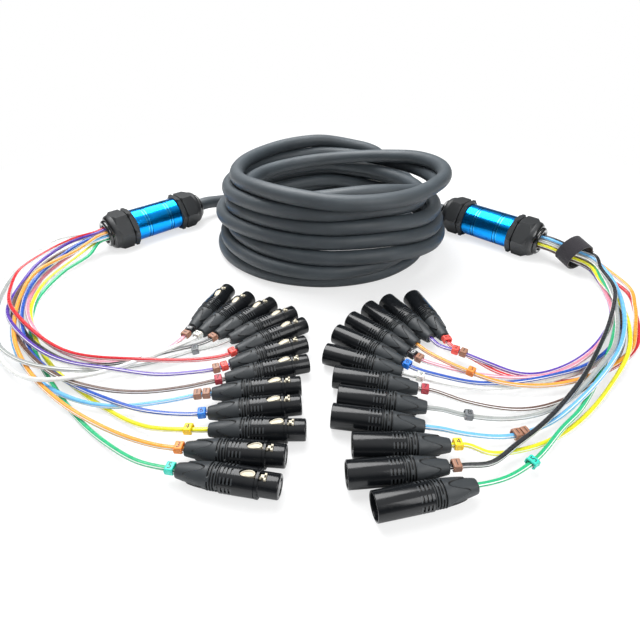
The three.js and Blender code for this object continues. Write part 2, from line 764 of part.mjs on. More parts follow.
// The multicore cable
const trunk = trunkPath();
const left_lead = stretch(trunk.points, 0, trunk.start, 1, cord_joint_gap, cord_joint_gap);
const coil = stretch(trunk.points, trunk.start, trunk.end, loop_stride, 0, 0);
const trunk_last = trunk.points.length - 1;
const right_lead = stretch(trunk.points, trunk.end, trunk_last, 1, cord_joint_gap, cord_joint_gap);
addMesh(part, 'trunk_coil', tube(coil, trunk_diameter, coil_tube_sides), 'jacket');
addMesh(part, 'trunk_lead_left', tube(left_lead, trunk_diameter, lead_tube_sides), 'jacket');
addMesh(part, 'trunk_lead_right', tube(right_lead, trunk_diameter, lead_tube_sides), 'jacket');
console.log(`least gap of the coil to itself: ${leastSelfGap(coil, trunk_diameter).toFixed(2)} mm`);

// The connectors
const female_places = fanPlaces(female_first_x, female_first_y, female_headings_deg, female_advance_shares,
  female_length, 1);
const male_places = fanPlaces(male_first_x, male_first_y, male_headings_deg, male_advance_shares,
  male_length, -1);

function addConnector(place, pieces) {
  const holder = new THREE.Group();
  holder.position.set(place.boot.x, place.boot.y, shell_radius);
  holder.rotation.z = place.heading;
  part.add(holder);
  for (const [name, geometry, finish] of pieces) {
    addMesh(holder, name, geometry, finish);
  }
}

female_places.forEach((place, i) => {
  const channel = String(i + 1).padStart(2, '0');
  addConnector(place, [
    [`female_connector_${channel}`, femaleConnector(), 'shell'],
    [`female_latch_${channel}`, latch(), 'latch'],
  ]);
});
male_places.forEach((place, i) => {
  const channel = String(i + 1).padStart(2, '0');
  addConnector(place, [[`male_connector_${channel}`, maleConnector(), 'shell']]);
});

// The tails
const left_paths = tailPaths(-1, left_tail_heading, left_tail_routes, left_slots, left_laying_order,
  female_places, bundle_hold_length, []);
const right_paths = tailPaths(1, right_tail_heading, right_tail_routes, right_slots, right_laying_order,
  male_places, tied_hold_length,
  [tie_distance - tie_width / 2, tie_distance + tie_width * tie_straight_share]);
addMesh(part, 'left_fan_tails', fanBody(-1, left_tail_heading, left_paths), 'tails');
addMesh(part, 'right_fan_tails', fanBody(1, right_tail_heading, right_paths), 'tails');

// The tie
const tie_place = splitterPoint(1, right_tail_heading, splitter_reach + tie_distance);
const tie_along_tails = tie_distance + plug_recess + plug_length / 2;
const tie_start_height = bundleHeight(tie_along_tails - tie_width / 2);
const tie_end_height = bundleHeight(tie_along_tails + tie_width / 2);
const tie = addMesh(part, 'tie_strap', tieStrap(), 'webbing');
tie.position.set(tie_place.x, tie_place.y, (tie_start_height + tie_end_height) / 2 + tie_lift);
tie.rotation.order = 'ZYX';
tie.rotation.z = right_tail_heading + THREE.MathUtils.degToRad(tie_turn_deg);
tie.rotation.y = Math.atan2(tie_start_height - tie_end_height, tie_width);

export default part;
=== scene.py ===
import json
import math

import bmesh
import bpy
import numpy as np
from bpy.props import FloatProperty, FloatVectorProperty, IntProperty, PointerProperty
from mathutils import Matrix, Vector

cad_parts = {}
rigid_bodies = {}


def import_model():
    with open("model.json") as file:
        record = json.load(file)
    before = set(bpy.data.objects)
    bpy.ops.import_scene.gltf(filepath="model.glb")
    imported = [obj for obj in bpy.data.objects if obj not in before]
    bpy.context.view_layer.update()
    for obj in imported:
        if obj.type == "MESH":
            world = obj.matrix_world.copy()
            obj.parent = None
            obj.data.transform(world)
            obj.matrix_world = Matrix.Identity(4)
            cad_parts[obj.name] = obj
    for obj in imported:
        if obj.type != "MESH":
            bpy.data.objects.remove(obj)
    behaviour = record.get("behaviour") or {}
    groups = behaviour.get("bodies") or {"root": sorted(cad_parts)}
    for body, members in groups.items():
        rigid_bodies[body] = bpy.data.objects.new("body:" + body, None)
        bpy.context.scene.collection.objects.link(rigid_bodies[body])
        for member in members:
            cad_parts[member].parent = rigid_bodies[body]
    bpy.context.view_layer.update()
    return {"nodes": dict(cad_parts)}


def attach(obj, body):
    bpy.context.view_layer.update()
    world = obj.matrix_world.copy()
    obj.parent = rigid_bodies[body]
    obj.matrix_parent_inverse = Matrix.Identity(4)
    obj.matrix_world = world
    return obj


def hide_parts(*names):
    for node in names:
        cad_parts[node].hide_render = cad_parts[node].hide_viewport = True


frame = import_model()

bl_info = {
    "name": "Twelve Channel Audio Snake",
    "version": (1, 0, 0),
    "blender": (4, 5, 0),
    "location": "3D View > Sidebar > Snake",
    "description": "Builds the cable, fan-outs, connectors, clips and tie of an audio snake",
    "category": "Add Mesh",
}

UP = Vector((0.0, 0.0, 1.0))
TINY = 1e-6
CHANNELS = 12
PER_METRE = 1000
INK_THICKNESS = 0.00004
SIDES = ((-1, "left"), (1, "right"))
WHITE = (1.0, 1.0, 1.0, 1.0)

# Directions of the connectors from boot to mouth, channels 1 to 12, and how far each one
# lies ahead of the one before, as a share of its length
FEMALE_HEADINGS_DEG = (71, 58, 48, 36, 33, 24, 16, 7, 7, 0, -5, -10)
FEMALE_ADVANCE_SHARES = (0, -0.04, 0.09, 0.08, -0.02, -0.17, -0.09, -0.15, -0.02, 0.04, -0.17, 0.01)
MALE_HEADINGS_DEG = (106, 119, 125, 135, 144, 159, 168, 170, 171, 180, 185, 192)
MALE_ADVANCE_SHARES = (0, 0.05, 0, -0.04, -0.04, -0.06, -0.21, -0.1, 0.03, -0.23, 0.09, -0.18)

# How far the coil lies outside its ellipse at each quarter turn, as shares of the turns' spacing:
# back, right, front and left of each turn, and the back where the last one ends
TURN_OFFSET_SHARES = (
    0.8, 0.2, 0.3, 0.45,
    0.1, -0.3, 0.8, 0.1,
    0.8, 1.5, 0.7, -0.5,
    0.1, 1.2, 0.4, 0.3,
    0.8, 0.9, 0.35, -0.5,
    0.1, -0.3, 0.5, -0.3,
    0.7, 0.3, -0.2, -0.9,
    -0.9, -0.2, 1.05, 0.1,
    1.3,
)

# Routes of the multicore between the coil and the two fan-outs, in whole millimetres
LEFT_LEAD_ROUTE_MM = ((-131, 92), (-95, 110), (-50, 120))
RIGHT_LEAD_ROUTE_MM = ((80, 109), (117, 89), (148, 61))

# Routes of the tails from the gland to the boot, channels 1 to 12, in whole millimetres
LEFT_TAIL_ROUTES_MM = (
    ((-292, -72), (-308, -112), (-296, -165), (-262, -214), (-214, -243), (-172, -251), (-140, -244)),
    ((-332, -36), (-356, -92), (-338, -165), (-290, -234), (-234, -277), (-188, -277), (-145, -254)),
    ((-300, -68), (-318, -116), (-301, -175), (-262, -224), (-210, -252), (-166, -254), (-122, -240)),
    ((-319, -48), (-346, -92), (-330, -165), (-290, -228), (-240, -262), (-199, -267), (-150, -257),
     (-112, -242)),
    ((-300, -50), (-322, -66), (-339, -100), (-325, -146), (-303, -180), (-266, -214), (-225, -240),
     (-190, -252), (-149, -259), (-106, -256)),
    ((-306, -60), (-325, -90), (-321, -146), (-308, -180), (-279, -215), (-236, -247), (-193, -265),
     (-138, -274), (-104, -270)),
    ((-290, -58), (-314, -88), (-316, -144), (-292, -200), (-252, -245), (-209, -276), (-172, -287),
     (-140, -289), (-105, -285)),
    ((-294, -75), (-313, -135), (-290, -208), (-246, -261), (-197, -293), (-160, -303), (-118, -300)),
    ((-292, -76), (-307, -122), (-289, -188), (-253, -241), (-209, -274), (-174, -293), (-135, -309)),
    ((-286, -78), (-300, -120), (-292, -166), (-274, -201), (-252, -231), (-222, -261), (-168, -300),
     (-125, -323)),
    ((-282, -76), (-309, -118), (-302, -166), (-275, -225), (-242, -265), (-198, -300), (-159, -322),
     (-125, -337)),
    ((-272, -76), (-290, -105), (-296, -146), (-282, -190), (-259, -229), (-224, -270), (-180, -313),
     (-147, -338), (-122, -353)),
)
RIGHT_TAIL_ROUTES_MM = (
    ((318, -110), (328, -140), (318, -172), (286, -229), (234, -264), (184, -274), (150, -266),
     (132, -252)),
    ((308, -118), (295, -170), (256, -221), (209, -255), (168, -267), (140, -258), (120, -246)),
    ((321, -112), (328, -142), (317, -171), (301, -200), (274, -238), (232, -267), (184, -282),
     (144, -282), (116, -266)),
    ((304, -130), (290, -178), (252, -228), (206, -261), (170, -272), (135, -270), (104, -262)),
    ((308, -128), (300, -175), (264, -228), (228, -256), (198, -270), (168, -278), (128, -280),
     (96, -272)),
    ((313, -124), (306, -175), (268, -228), (224, -260), (188, -274), (149, -282), (108, -282)),
    ((304, -138), (292, -192), (262, -242), (218, -278), (182, -297), (150, -304), (112, -300)),
    ((300, -138), (284, -192), (254, -242), (220, -275), (196, -294), (168, -308), (136, -315),
     (108, -314)),
    ((309, -112), (306, -149), (290, -195), (265, -235), (227, -276), (189, -306), (165, -320),
     (132, -331), (104, -331)),
    ((300, -132), (298, -178), (286, -213), (264, -248), (232, -282), (202, -308), (172, -328),
     (140, -342), (115, -347)),
    ((301, -124), (296, -160), (271, -204), (233, -252), (204, -284), (166, -318), (136, -340),
     (112, -356)),
    ((300, -134), (293, -176), (269, -218), (230, -269), (198, -305), (175, -324), (146, -350),
     (124, -364)),
)

# Order in which the tails were laid down, lowest first, and the hole of the gland's plug that
# each leaves by: o for the outer ring, i for the inner, and its angle from the outer side
LEFT_LAYING_ORDER = (12, 10, 1, 3, 8, 9, 7, 11, 4, 2, 6, 5)
LEFT_SLOTS = ("i-90", "o30", "o-50", "o-10", "o70", "o110", "i30", "o-170", "i150", "o-90", "o150",
              "o-130")
RIGHT_LAYING_ORDER = (1, 2, 4, 6, 5, 7, 3, 10, 12, 8, 9, 11)
RIGHT_SLOTS = ("o-50", "o-90", "o30", "i-90", "i30", "o-10", "o-130", "o150", "o110", "o-170", "o70",
               "i150")

# The number that each tail carries, channels 1 to 12, and how far its first clip lies from the boot
LEFT_NUMBERS = (10, 9, 1, 8, 2, 12, 7, 11, 6, 4, 3, 5)
LEFT_CLIP_DISTANCES = (0.0037, 0.0040, 0.0040, 0.0310, 0.0040, 0.0040, 0.0050, 0.0037, 0.0040, 0.0140,
                       0.0040, 0.0040)
RIGHT_NUMBERS = (2, 12, 3, 10, 6, 9, 7, 8, 11, 4, 1, 5)
RIGHT_CLIP_DISTANCES = (0.0040, 0.0260, 0.0520, 0.0037, 0.0040, 0.0140, 0.0050, 0.0300, 0.0660, 0.0050,
                        0.0050, 0.0470)

# Colour of each tail's stripe, by the tail's number
STRIPE_COLOURS = {
    1: (0.020, 0.022, 0.025), 2: (0.600, 0.020, 0.030), 3: (0.800, 0.330, 0.040),
    4: (0.720, 0.700, 0.020), 5: (0.020, 0.420, 0.180), 6: (0.015, 0.080, 0.420),
    7: (0.110, 0.060, 0.045), 8: (0.330, 0.350, 0.340), 9: (0.700, 0.710, 0.690),
    10: (0.780, 0.250, 0.340), 11: (0.140, 0.440, 0.780), 12: (0.090, 0.035, 0.360),
}

# Colour of a clip by its digit
CLIP_COLOURS = {
    0: (0.020, 0.021, 0.023), 1: (0.330, 0.160, 0.100), 2: (0.860, 0.090, 0.070),
    3: (0.930, 0.270, 0.040), 4: (0.980, 0.650, 0.010), 5: (0.030, 0.600, 0.470),
    6: (0.010, 0.180, 0.700), 7: (0.420, 0.030, 0.050), 8: (0.160, 0.170, 0.180),
    9: (0.780, 0.780, 0.740),
}

tail_lines = {}


def length_of(name, description, default):
    """A length that a user can set, in metres."""
    return FloatProperty(name=name, description=description, default=default, min=0.0, precision=5,
                         subtype="DISTANCE", unit="LENGTH")


def angle_of(name, description, degrees):
    """An angle that a user can set."""
    return FloatProperty(name=name, description=description, default=math.radians(degrees),
                         subtype="ANGLE", unit="ROTATION")


def share_of(name, description, default):
    """A share from 0 to 1 that a user can set."""
    return FloatProperty(name=name, description=description, default=default, min=0.0, max=1.0,
                         subtype="FACTOR")


def count_of(name, description, default):
    """A count of faces or rings that a user can set."""
    return IntProperty(name=name, description=description, default=default, min=3)


def colour_of(name, description, default):
    """A linear colour that a user can set."""
    return FloatVectorProperty(name=name, description=description, default=default, min=0.0, max=1.0,
                               size=3, subtype="COLOR")


class CableSettings(bpy.types.PropertyGroup):
    """Sizes and colour of the multicore cable and its coil"""
    diameter: length_of("Diameter", "Outer diameter of the multicore", 0.0158)
    turn_gap: length_of("Turn gap", "Gap between turns that lie on each other", 0.0004)
    half_width: length_of("Half width", "Half width of the coil at its middle line", 0.120)
    half_depth: length_of("Half depth", "Half depth of the coil at its middle line", 0.108)
    centre_x: FloatProperty(name="Centre X", description="Middle of the coil", default=0.005, unit="LENGTH")
    centre_y: FloatProperty(name="Centre Y", description="Middle of the coil", default=-0.010, unit="LENGTH")
    half_turns: IntProperty(name="Half turns", description="Half turns of the coil", default=16, min=2)
    top_shift_share: FloatProperty(name="Top shift", default=1.2,
                                   description="How far the upper turns lie to the right, in turns")
    swelling: length_of("Swelling", "How much thicker the soft jacket is drawn", 0.0003)
    sides: count_of("Sides", "Faces round the cable", 20)
    colour: colour_of("Jacket", "Colour of the multicore's jacket", (0.043, 0.054, 0.063))


class FanoutSettings(bpy.types.PropertyGroup):
    """Sizes and colours of the two fan-out tubes and their glands"""
    offset_x: length_of("Offset X", "How far each fan-out lies to its side", 0.219)
    offset_y: length_of("Offset Y", "How far the fan-outs lie ahead and behind", 0.010)
    heading: angle_of("Heading", "Turn of the fan-outs on the floor", 44.5)
    barrel_radius: length_of("Barrel radius", "Outer radius of the barrel", 0.0195)
    barrel_wall: length_of("Barrel wall", "Wall of the barrel", 0.0018)
    barrel_length: length_of("Barrel length", "Length of the barrel", 0.060)
    barrel_chamfer: length_of("Barrel chamfer", "Chamfer at the ends of the barrel", 0.0004)
    groove_width: length_of("Groove width", "Width of a turned groove", 0.0010)
    groove_depth: length_of("Groove depth", "Depth of a turned groove", 0.0008)
    groove_pitch: length_of("Groove pitch", "Distance between the two grooves of a pair", 0.0034)
    groove_place: length_of("Groove place", "Distance of each pair from the barrel's middle", 0.0150)
    thread_length: length_of("Thread length", "Length of gland thread in the barrel", 0.009)
    thread_clearance: length_of("Thread clearance", "Clearance of the gland's threads", 0.0003)
    bore_radius: length_of("Gland bore", "Radius of the gland's bore", 0.011)
    across_flats: length_of("Across flats", "Size of the glands' hexagons", 0.042)
    flange_gap: length_of("Flange gap", "Gap between flange and barrel", 0.0003)
    flange_thickness: length_of("Flange", "Thickness of the hexagonal flange", 0.006)
    nut_gap: length_of("Nut gap", "Gap between flange and nut", 0.0012)
    nut_hex_length: length_of("Nut hexagon", "Length of the nut's hexagonal part", 0.0135)
    nut_dome_length: length_of("Nut dome", "Length of the nut's dome", 0.015)
    nut_wall: length_of("Nut wall", "Wall of the nut at its thread, across the flats", 0.0051)
    nut_mouth_radius: length_of("Nut mouth", "Radius of the nut's mouth", 0.0104)
    nut_ring_radius: length_of("Nut ring", "Radius of the round ring about the mouth", 0.0029)
    nut_corner_cut: length_of("Nut corner cut", "Length over which the corners run into the dome", 0.0036)
    nut_lip_length: length_of("Nut lip", "Length of the lip at the nut's mouth", 0.005)
    corner_chamfer: length_of("Corner chamfer", "Chamfer of the hexagons' corners", 0.0012)
    plug_length: length_of("Plug length", "Length of the sealing plug of the tails", 0.0035)
    plug_recess: length_of("Plug recess", "How far the plug lies inside the mouth", 0.002)
    plug_gap: length_of("Plug gap", "Clearance round the plug", 0.0003)
    sides: count_of("Sides", "Faces round the fan-outs", 120)
    anodised: colour_of("Anodising", "Colour of the anodised barrels", (0.003, 0.310, 0.850))
    nylon: colour_of("Nylon", "Colour of the glands", (0.0170, 0.0188, 0.0206))


class TailSettings(bpy.types.PropertyGroup):
    """Sizes of the tails"""
    diameter: length_of("Diameter", "Outer diameter of a tail", 0.0038)
    gap: length_of("Gap", "Gap between tails that lie on each other", 0.00035)
    ring_radius: length_of("Outer ring", "Radius of the plug's outer ring of holes", 0.0067)
    core_radius: length_of("Inner ring", "Radius of the plug's inner ring of holes", 0.0024)
    hole_clearance: length_of("Hole clearance", "Clearance of a tail in its hole", 0.00012)
    hold_length: length_of("Hold", "Length over which the bundle keeps its shape", 0.016)
    tied_length: length_of("Tied hold", "Length over which the tied bundle keeps its shape", 0.062)
    spread_length: length_of("Spread", "Length over which the bundle spreads", 0.060)
    fall_start: length_of("Fall start", "Where the bundle starts to fall to the floor", 0.010)
    fall_length: length_of("Fall length", "Length over which the bundle falls", 0.095)
    rise_length: length_of("Rise", "Length over which a tail rises to its boot", 0.085)
    straight_length: length_of("Straight", "Straight length of a tail at its boot", 0.012)
    exit_length: length_of("Exit", "Straight length of a tail at the gland", 0.010)
    boot_gap: length_of("Boot gap", "Distance of the solid tail's end from the boot", 0.0003)
    boot_entry: length_of("Boot entry", "How far a tail runs into its boot", 0.002)
    sides: count_of("Sides", "Faces round a tail", 14)
    ground: colour_of("Jacket", "Colour of the jacket beside the stripe", (0.860, 0.865, 0.855))


class ConnectorSettings(bpy.types.PropertyGroup):
    """Sizes and colours of the cable connectors"""
    shell_diameter: length_of("Shell", "Diameter of the shell", 0.0189)
    nose_diameter: length_of("Nose", "Diameter of a female connector's nose", 0.016)
    tip_diameter: length_of("Boot tip", "Diameter of the boot's tip", 0.010)
    root_diameter: length_of("Boot root", "Diameter of the boot under its tongues", 0.0166)
    collar_diameter: length_of("Collar", "Diameter of the boot's ribbed collar", 0.0180)
    boot_length: length_of("Boot", "Length of the boot up to its collar", 0.0225)
    collar_length: length_of("Collar length", "Length of the ribbed collar", 0.008)
    female_length: length_of("Female length", "Length of a female connector", 0.069)
    nose_length: length_of("Nose length", "Length of a female connector's nose", 0.013)
    ring_length: length_of("Ring", "Length of the ring in front of the latch", 0.002)
    male_length: length_of("Male length", "Length of a male connector", 0.067)
    mouth_diameter: length_of("Mouth", "Diameter of a male connector's mouth", 0.0162)
    mouth_depth: length_of("Mouth depth", "Depth of a male connector's mouth", 0.0155)
    pin_diameter: length_of("Pin", "Diameter of a pin", 0.0024)
    pin_circle: length_of("Pin circle", "Radius of the circle that the pins stand on", 0.00405)
    pin_recess: length_of("Pin recess", "How far the pins end inside the mouth", 0.0045)
    neighbour_gap: length_of("Neighbour gap", "Gap between neighbouring connectors", 0.0004)
    spread_gap: length_of("Spread gap", "More gap for each degree that neighbours point apart", 0.00006)
    tongue_height: length_of("Tongue height", "How far the boot's tongues stand proud", 0.0008)
    groove_depth: length_of("Groove depth", "Depth of the collar's grooves", 0.0010)
    slot_depth: length_of("Slot depth", "Depth of the slots in the shell", 0.0008)
    rubber: colour_of("Rubber", "Colour of the boots", (0.027, 0.032, 0.036))
    shell: colour_of("Shell", "Colour of the shells", (0.0065, 0.0075, 0.0090))


class LatchSettings(bpy.types.PropertyGroup):
    """Sizes and colour of the push latch"""
    width: length_of("Width", "Width of the latch", 0.005)
    gap: length_of("Gap", "Gap round the latch", 0.0003)
    strip_thickness: length_of("Strip", "Thickness of the latch's strip", 0.0013)
    strip_top: length_of("Strip top", "Height of the strip's top over the axis", 0.0069)
    pad_length: length_of("Pad", "Length of the pad", 0.0078)
    pad_proud: length_of("Pad proud", "How far the pad stands over the shell", 0.0003)
    pad_ring_gap: length_of("Pad gap", "Gap between pad and ring", 0.0007)
    tail_length: length_of("Tail", "Length of the latch behind its pad", 0.0022)
    tooth_length: length_of("Tooth", "Length of the tooth", 0.0036)
    tooth_ring_gap: length_of("Tooth gap", "Gap between ring and tooth", 0.001)
    tooth_proud: length_of("Tooth proud", "How far the tooth stands over the nose", 0.001)
    travel_room: length_of("Travel", "Room under the latch", 0.002)
    metal: colour_of("Metal", "Colour of the latch", (0.560, 0.515, 0.405))


class ClipSettings(bpy.types.PropertyGroup):
    """Sizes of the number clips"""
    length: length_of("Length", "Length of a clip along the tail", 0.0058)
    pitch: length_of("Pitch", "Distance between two clips that lie together", 0.0067)
    half_width: length_of("Half width", "Half width of a clip", 0.0035)
    top: length_of("Top", "Height of a clip's top over the tail's middle", 0.0041)
    bottom: length_of("Bottom", "Depth of a clip's bottom under the tail's middle", 0.0020)
    lip_length: length_of("Lip", "Length of the lip at a clip's end", 0.0012)
    lip_proud: length_of("Lip proud", "How far the lips stand out", 0.0004)
    digit_height: length_of("Digit", "Height of a digit", 0.0062)


class TieSettings(bpy.types.PropertyGroup):
    """Sizes and colours of the hook and loop tie"""
    distance: length_of("Distance", "Distance of the tie from the gland's mouth", 0.037)
    inner_radius: length_of("Inner radius", "Inner radius of the tie", 0.015)
    lift: length_of("Lift", "How far the tie's middle lies over the bundle's", 0.0042)
    turn: angle_of("Turn", "How far the tie is turned from the bundle's direction", -22.0)
    thickness: length_of("Thickness", "Thickness of the strap", 0.0015)
    width: length_of("Width", "Width of the strap", 0.020)
    flap_start_share: share_of("Flap start", "Where the lapped end starts, as a share of a turn", 0.02)
    flap_end_share: share_of("Flap end", "Where the lapped end stops, as a share of a turn", 0.3)
    pile: colour_of("Pile", "Colour of the strap's outer face", (0.014, 0.012, 0.016))
    hooks: colour_of("Hooks", "Colour of the strap's inner face", (0.060, 0.058, 0.058))


class StudioSettings(bpy.types.PropertyGroup):
    """Camera, floor and lamps"""
    lens_mm: FloatProperty(name="Lens", description="Focal length in millimetres", default=24.19)
    distance: length_of("Distance", "How far the camera stands in front of the part", 0.526)
    height: length_of("Height", "Height of the camera", 0.254)
    pitch: angle_of("Pitch", "How far the camera looks down", 36.72)
    floor_size: length_of("Floor", "Size of the floor", 60.0)
    key_power: FloatProperty(name="Key", description="Power of the large lamp", default=25.0, unit="POWER")
    fill_power: FloatProperty(name="Fill", description="Power of the side lamp", default=7.0, unit="POWER")
    sky_level: FloatProperty(name="Sky", description="Level of the even light", default=0.46)
    floor: colour_of("Floor colour", "Colour of the floor", (0.930, 0.940, 0.945))


SETTINGS = (
    ("snake_cable", CableSettings),
    ("snake_fanout", FanoutSettings),
    ("snake_tail", TailSettings),
    ("snake_connector", ConnectorSettings),
    ("snake_latch", LatchSettings),
    ("snake_clip", ClipSettings),
    ("snake_tie", TieSettings),
    ("snake_studio", StudioSettings),
)


# Modelling steps
def deselect_all():
    """Leaves edit mode and deselects every object."""
    if bpy.context.object and bpy.context.object.mode != "OBJECT":
        bpy.ops.object.mode_set(mode="OBJECT")
    bpy.ops.object.select_all(action="DESELECT")


def make_active(piece):
    """Selects one object alone."""
    deselect_all()
    piece.select_set(True)
    bpy.context.view_layer.objects.active = piece


def start_edit(piece, select_mode="VERT"):
    """Enters edit mode on one object with nothing of it selected."""
    make_active(piece)
    bpy.ops.object.mode_set(mode="EDIT")
    bpy.ops.mesh.select_mode(type=select_mode)
    bpy.ops.mesh.select_all(action="DESELECT")


def end_edit():
    """Goes back to object mode."""
    bpy.ops.object.mode_set(mode="OBJECT")


def select_faces(piece, test):
    """Selects the faces whose middle and normal pass a test, in edit mode."""
    mesh = bmesh.from_edit_mesh(piece.data)
    for face in mesh.faces:
        face.select_set(test(face.calc_center_median(), face.normal))
    bmesh.update_edit_mesh(piece.data)


def tidy_mesh():
    """Merges doubles and turns all faces outwards, in edit mode."""
    bpy.ops.mesh.select_all(action="SELECT")
    bpy.ops.mesh.remove_doubles(threshold=TINY)
    bpy.ops.mesh.normals_make_consistent(inside=False)


def chain(name, places):
    """An edge chain through places, drawn by extruding one corner."""
    deselect_all()
    bpy.ops.mesh.primitive_plane_add(size=TINY, location=places[0])
    piece = bpy.context.object
    piece.name = name
    bpy.ops.object.transform_apply(location=True, rotation=False, scale=False)
    bpy.ops.object.mode_set(mode="EDIT")
    bpy.ops.mesh.select_mode(type="VERT")
    bpy.ops.mesh.select_all(action="SELECT")
    bpy.ops.mesh.merge(type="CENTER")
    for start, end in zip(places, places[1:]):
        step = tuple(b - a for a, b in zip(start, end))
        bpy.ops.mesh.extrude_vertices_move(TRANSFORM_OT_translate={"value": step})
    end_edit()
    return piece


def turned(name, profile, sides):
    """A shape turned about the X axis from (x, radius) places, first to last."""
    piece = chain(name, [(x, 0.0, radius) for x, radius in profile])
    start_edit(piece)
    bpy.ops.mesh.select_all(action="SELECT")
    bpy.ops.mesh.spin(steps=sides, angle=math.tau, center=(0.0, 0.0, 0.0), axis=(1.0, 0.0, 0.0))
    tidy_mesh()
    end_edit()
    return piece


def prism(name, outline, step):
    """A closed outline filled and pushed out by a step."""
    piece = chain(name, outline)
    start_edit(piece)
    bpy.ops.mesh.select_all(action="SELECT")
    bpy.ops.mesh.edge_face_add()
    bpy.ops.mesh.extrude_region_move(TRANSFORM_OT_translate={"value": step})
    tidy_mesh()
    end_edit()
    return piece


def block(name, low, high, bevel=0.0):
    """A box between two corners, with its edges rounded."""
    deselect_all()
    bpy.ops.mesh.primitive_cube_add(size=1.0)
    piece = bpy.context.object
    piece.name = name
    centre = (Vector(low) + Vector(high)) / 2
    piece.data.transform(Matrix.Translation(centre) @ Matrix.Diagonal((*(Vector(high) - Vector(low)), 1.0)))
    if bevel > 0.0:
        rounded(piece, bevel)
    return piece


def use_modifier(piece, kind, **values):
    """Adds a modifier and applies it."""
    make_active(piece)
    modifier = piece.modifiers.new(kind.lower(), kind)
    for key, value in values.items():
        setattr(modifier, key, value)
    bpy.ops.object.modifier_apply(modifier=modifier.name)


def rounded(piece, width, segments=3, angle_deg=30.0):
    """Rounds the edges that are sharper than an angle."""
    use_modifier(piece, "BEVEL", width=width, segments=segments, limit_method="ANGLE",
                 angle_limit=math.radians(angle_deg), use_clamp_overlap=True)


def cut(piece, *tools):
    """Cuts tools out of a piece and removes them."""
    for tool in tools:
        use_modifier(piece, "BOOLEAN", operation="DIFFERENCE", solver="EXACT", object=tool)
        bpy.data.objects.remove(tool)


def joined(name, *pieces):
    """Joins pieces into the first one."""
    make_active(pieces[0])
    for piece in pieces[1:]:
        piece.select_set(True)
    bpy.ops.object.join()
    pieces[0].name = name
    pieces[0].data.name = name
    return pieces[0]


def smooth(piece, angle_deg):
    """Smooth shading with edges that stay sharp past an angle."""
    make_active(piece)
    bpy.ops.object.shade_smooth_by_angle(angle=math.radians(angle_deg))


def corners_of(piece):
    """The corners of a piece's mesh as an array."""
    places = np.zeros(len(piece.data.vertices) * 3, np.float32)
    piece.data.vertices.foreach_get("co", places)
    return places.reshape(-1, 3).astype(float)


def set_corners(piece, places):
    """Moves the corners of a piece's mesh."""
    piece.data.vertices.foreach_set("co", places.astype(np.float32).ravel())
    piece.data.update()


def set_radius(piece, radius_at):
    """Gives each corner a new distance from the X axis, by its x, its angle and its radius."""
    places = corners_of(piece)
    radius = np.hypot(places[:, 1], places[:, 2])
    off_axis = radius > TINY
    angle = np.arctan2(places[off_axis, 2], places[off_axis, 1])
    wanted = radius_at(places[off_axis, 0], angle, radius[off_axis])
    places[off_axis, 1] = wanted * np.cos(angle)
    places[off_axis, 2] = wanted * np.sin(angle)
    set_corners(piece, places)


def keep_shape(piece):
    """Keeps a piece's own coordinates for patterns that follow its shape."""
    places = corners_of(piece)
    shape = piece.data.attributes.new("shape", "FLOAT_VECTOR", "POINT")
    shape.data.foreach_set("vector", places.astype(np.float32).ravel())


def dress(piece, *finishes):
    """Gives a piece its materials."""
    piece.data.materials.clear()
    for finish in finishes:
        piece.data.materials.append(finish)


def state(piece, body, slot, *replaced):
    """States the body that a piece rides on and the solids that it stands for; the slot is not used."""
    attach(piece, body)
    if replaced:
        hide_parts(*replaced)


def copy_to(model, name, place, body, slot, *replaced):
    """A copy of a model with a mesh of its own, at a place, riding on a body."""
    mesh = model.data.copy()
    mesh.name = name
    mesh.transform(place)
    piece = bpy.data.objects.new(name, mesh)
    bpy.context.scene.collection.objects.link(piece)
    state(piece, body, slot, *replaced)
    return piece


def drill(middle, radius, depth, sides):
    """A cylinder along x, to cut a hole with."""
    deselect_all()
    bpy.ops.mesh.primitive_cylinder_add(vertices=sides, radius=radius, depth=depth, location=middle,
                                        rotation=(0.0, math.pi / 2, 0.0))
    return bpy.context.object


def bulged(value, power):
    """A sine or cosine raised to a power, with its sign kept."""
    return math.copysign(abs(value) ** power, value)


def drop(*models):
    """Removes models that have been copied."""
    for model in models:
        bpy.data.objects.remove(model)


def smoothstep(x, low, high):
    """A share that goes softly from 0 to 1 between low and high."""
    t = np.clip((x - low) / (high - low), 0.0, 1.0)
    return t * t * (3.0 - 2.0 * t)


def arc(centre, radius, start_deg, end_deg, steps):
    """Places on an arc, as (x, radius) pairs."""
    places = []
    for step in range(steps + 1):
        turn = math.radians(start_deg + (end_deg - start_deg) * step / steps)
        places.append((centre[0] + radius * math.cos(turn), centre[1] + radius * math.sin(turn)))
    return places


# Strands: a strand keeps the plan of its route, and rests on the floor and on what was laid before
SAMPLES_PER_TURN = 48
TAIL_SAMPLES = 117
SETTLE_ROUNDS = 700
SETTLE_SAG_SHARE = 0.006
LENGTH_DIVISIONS_PER_POINT = 12
STATIONS_PER_HALF_TURN = 6
TOP_SHIFT_START_SHARE = 0.66
TOP_SHIFT_END_SHARE = 0.94
PINNED_DIAMETERS = 1.2
EASE_ROUNDS = 45
PAST_TIE_ROUNDS = 220
PAST_TIE_SHARE = 1.2


def on_floor(route_mm):
    """A route in metres on the floor, from whole millimetres."""
    return [(x / PER_METRE, y / PER_METRE, 0.0) for x, y in route_mm]


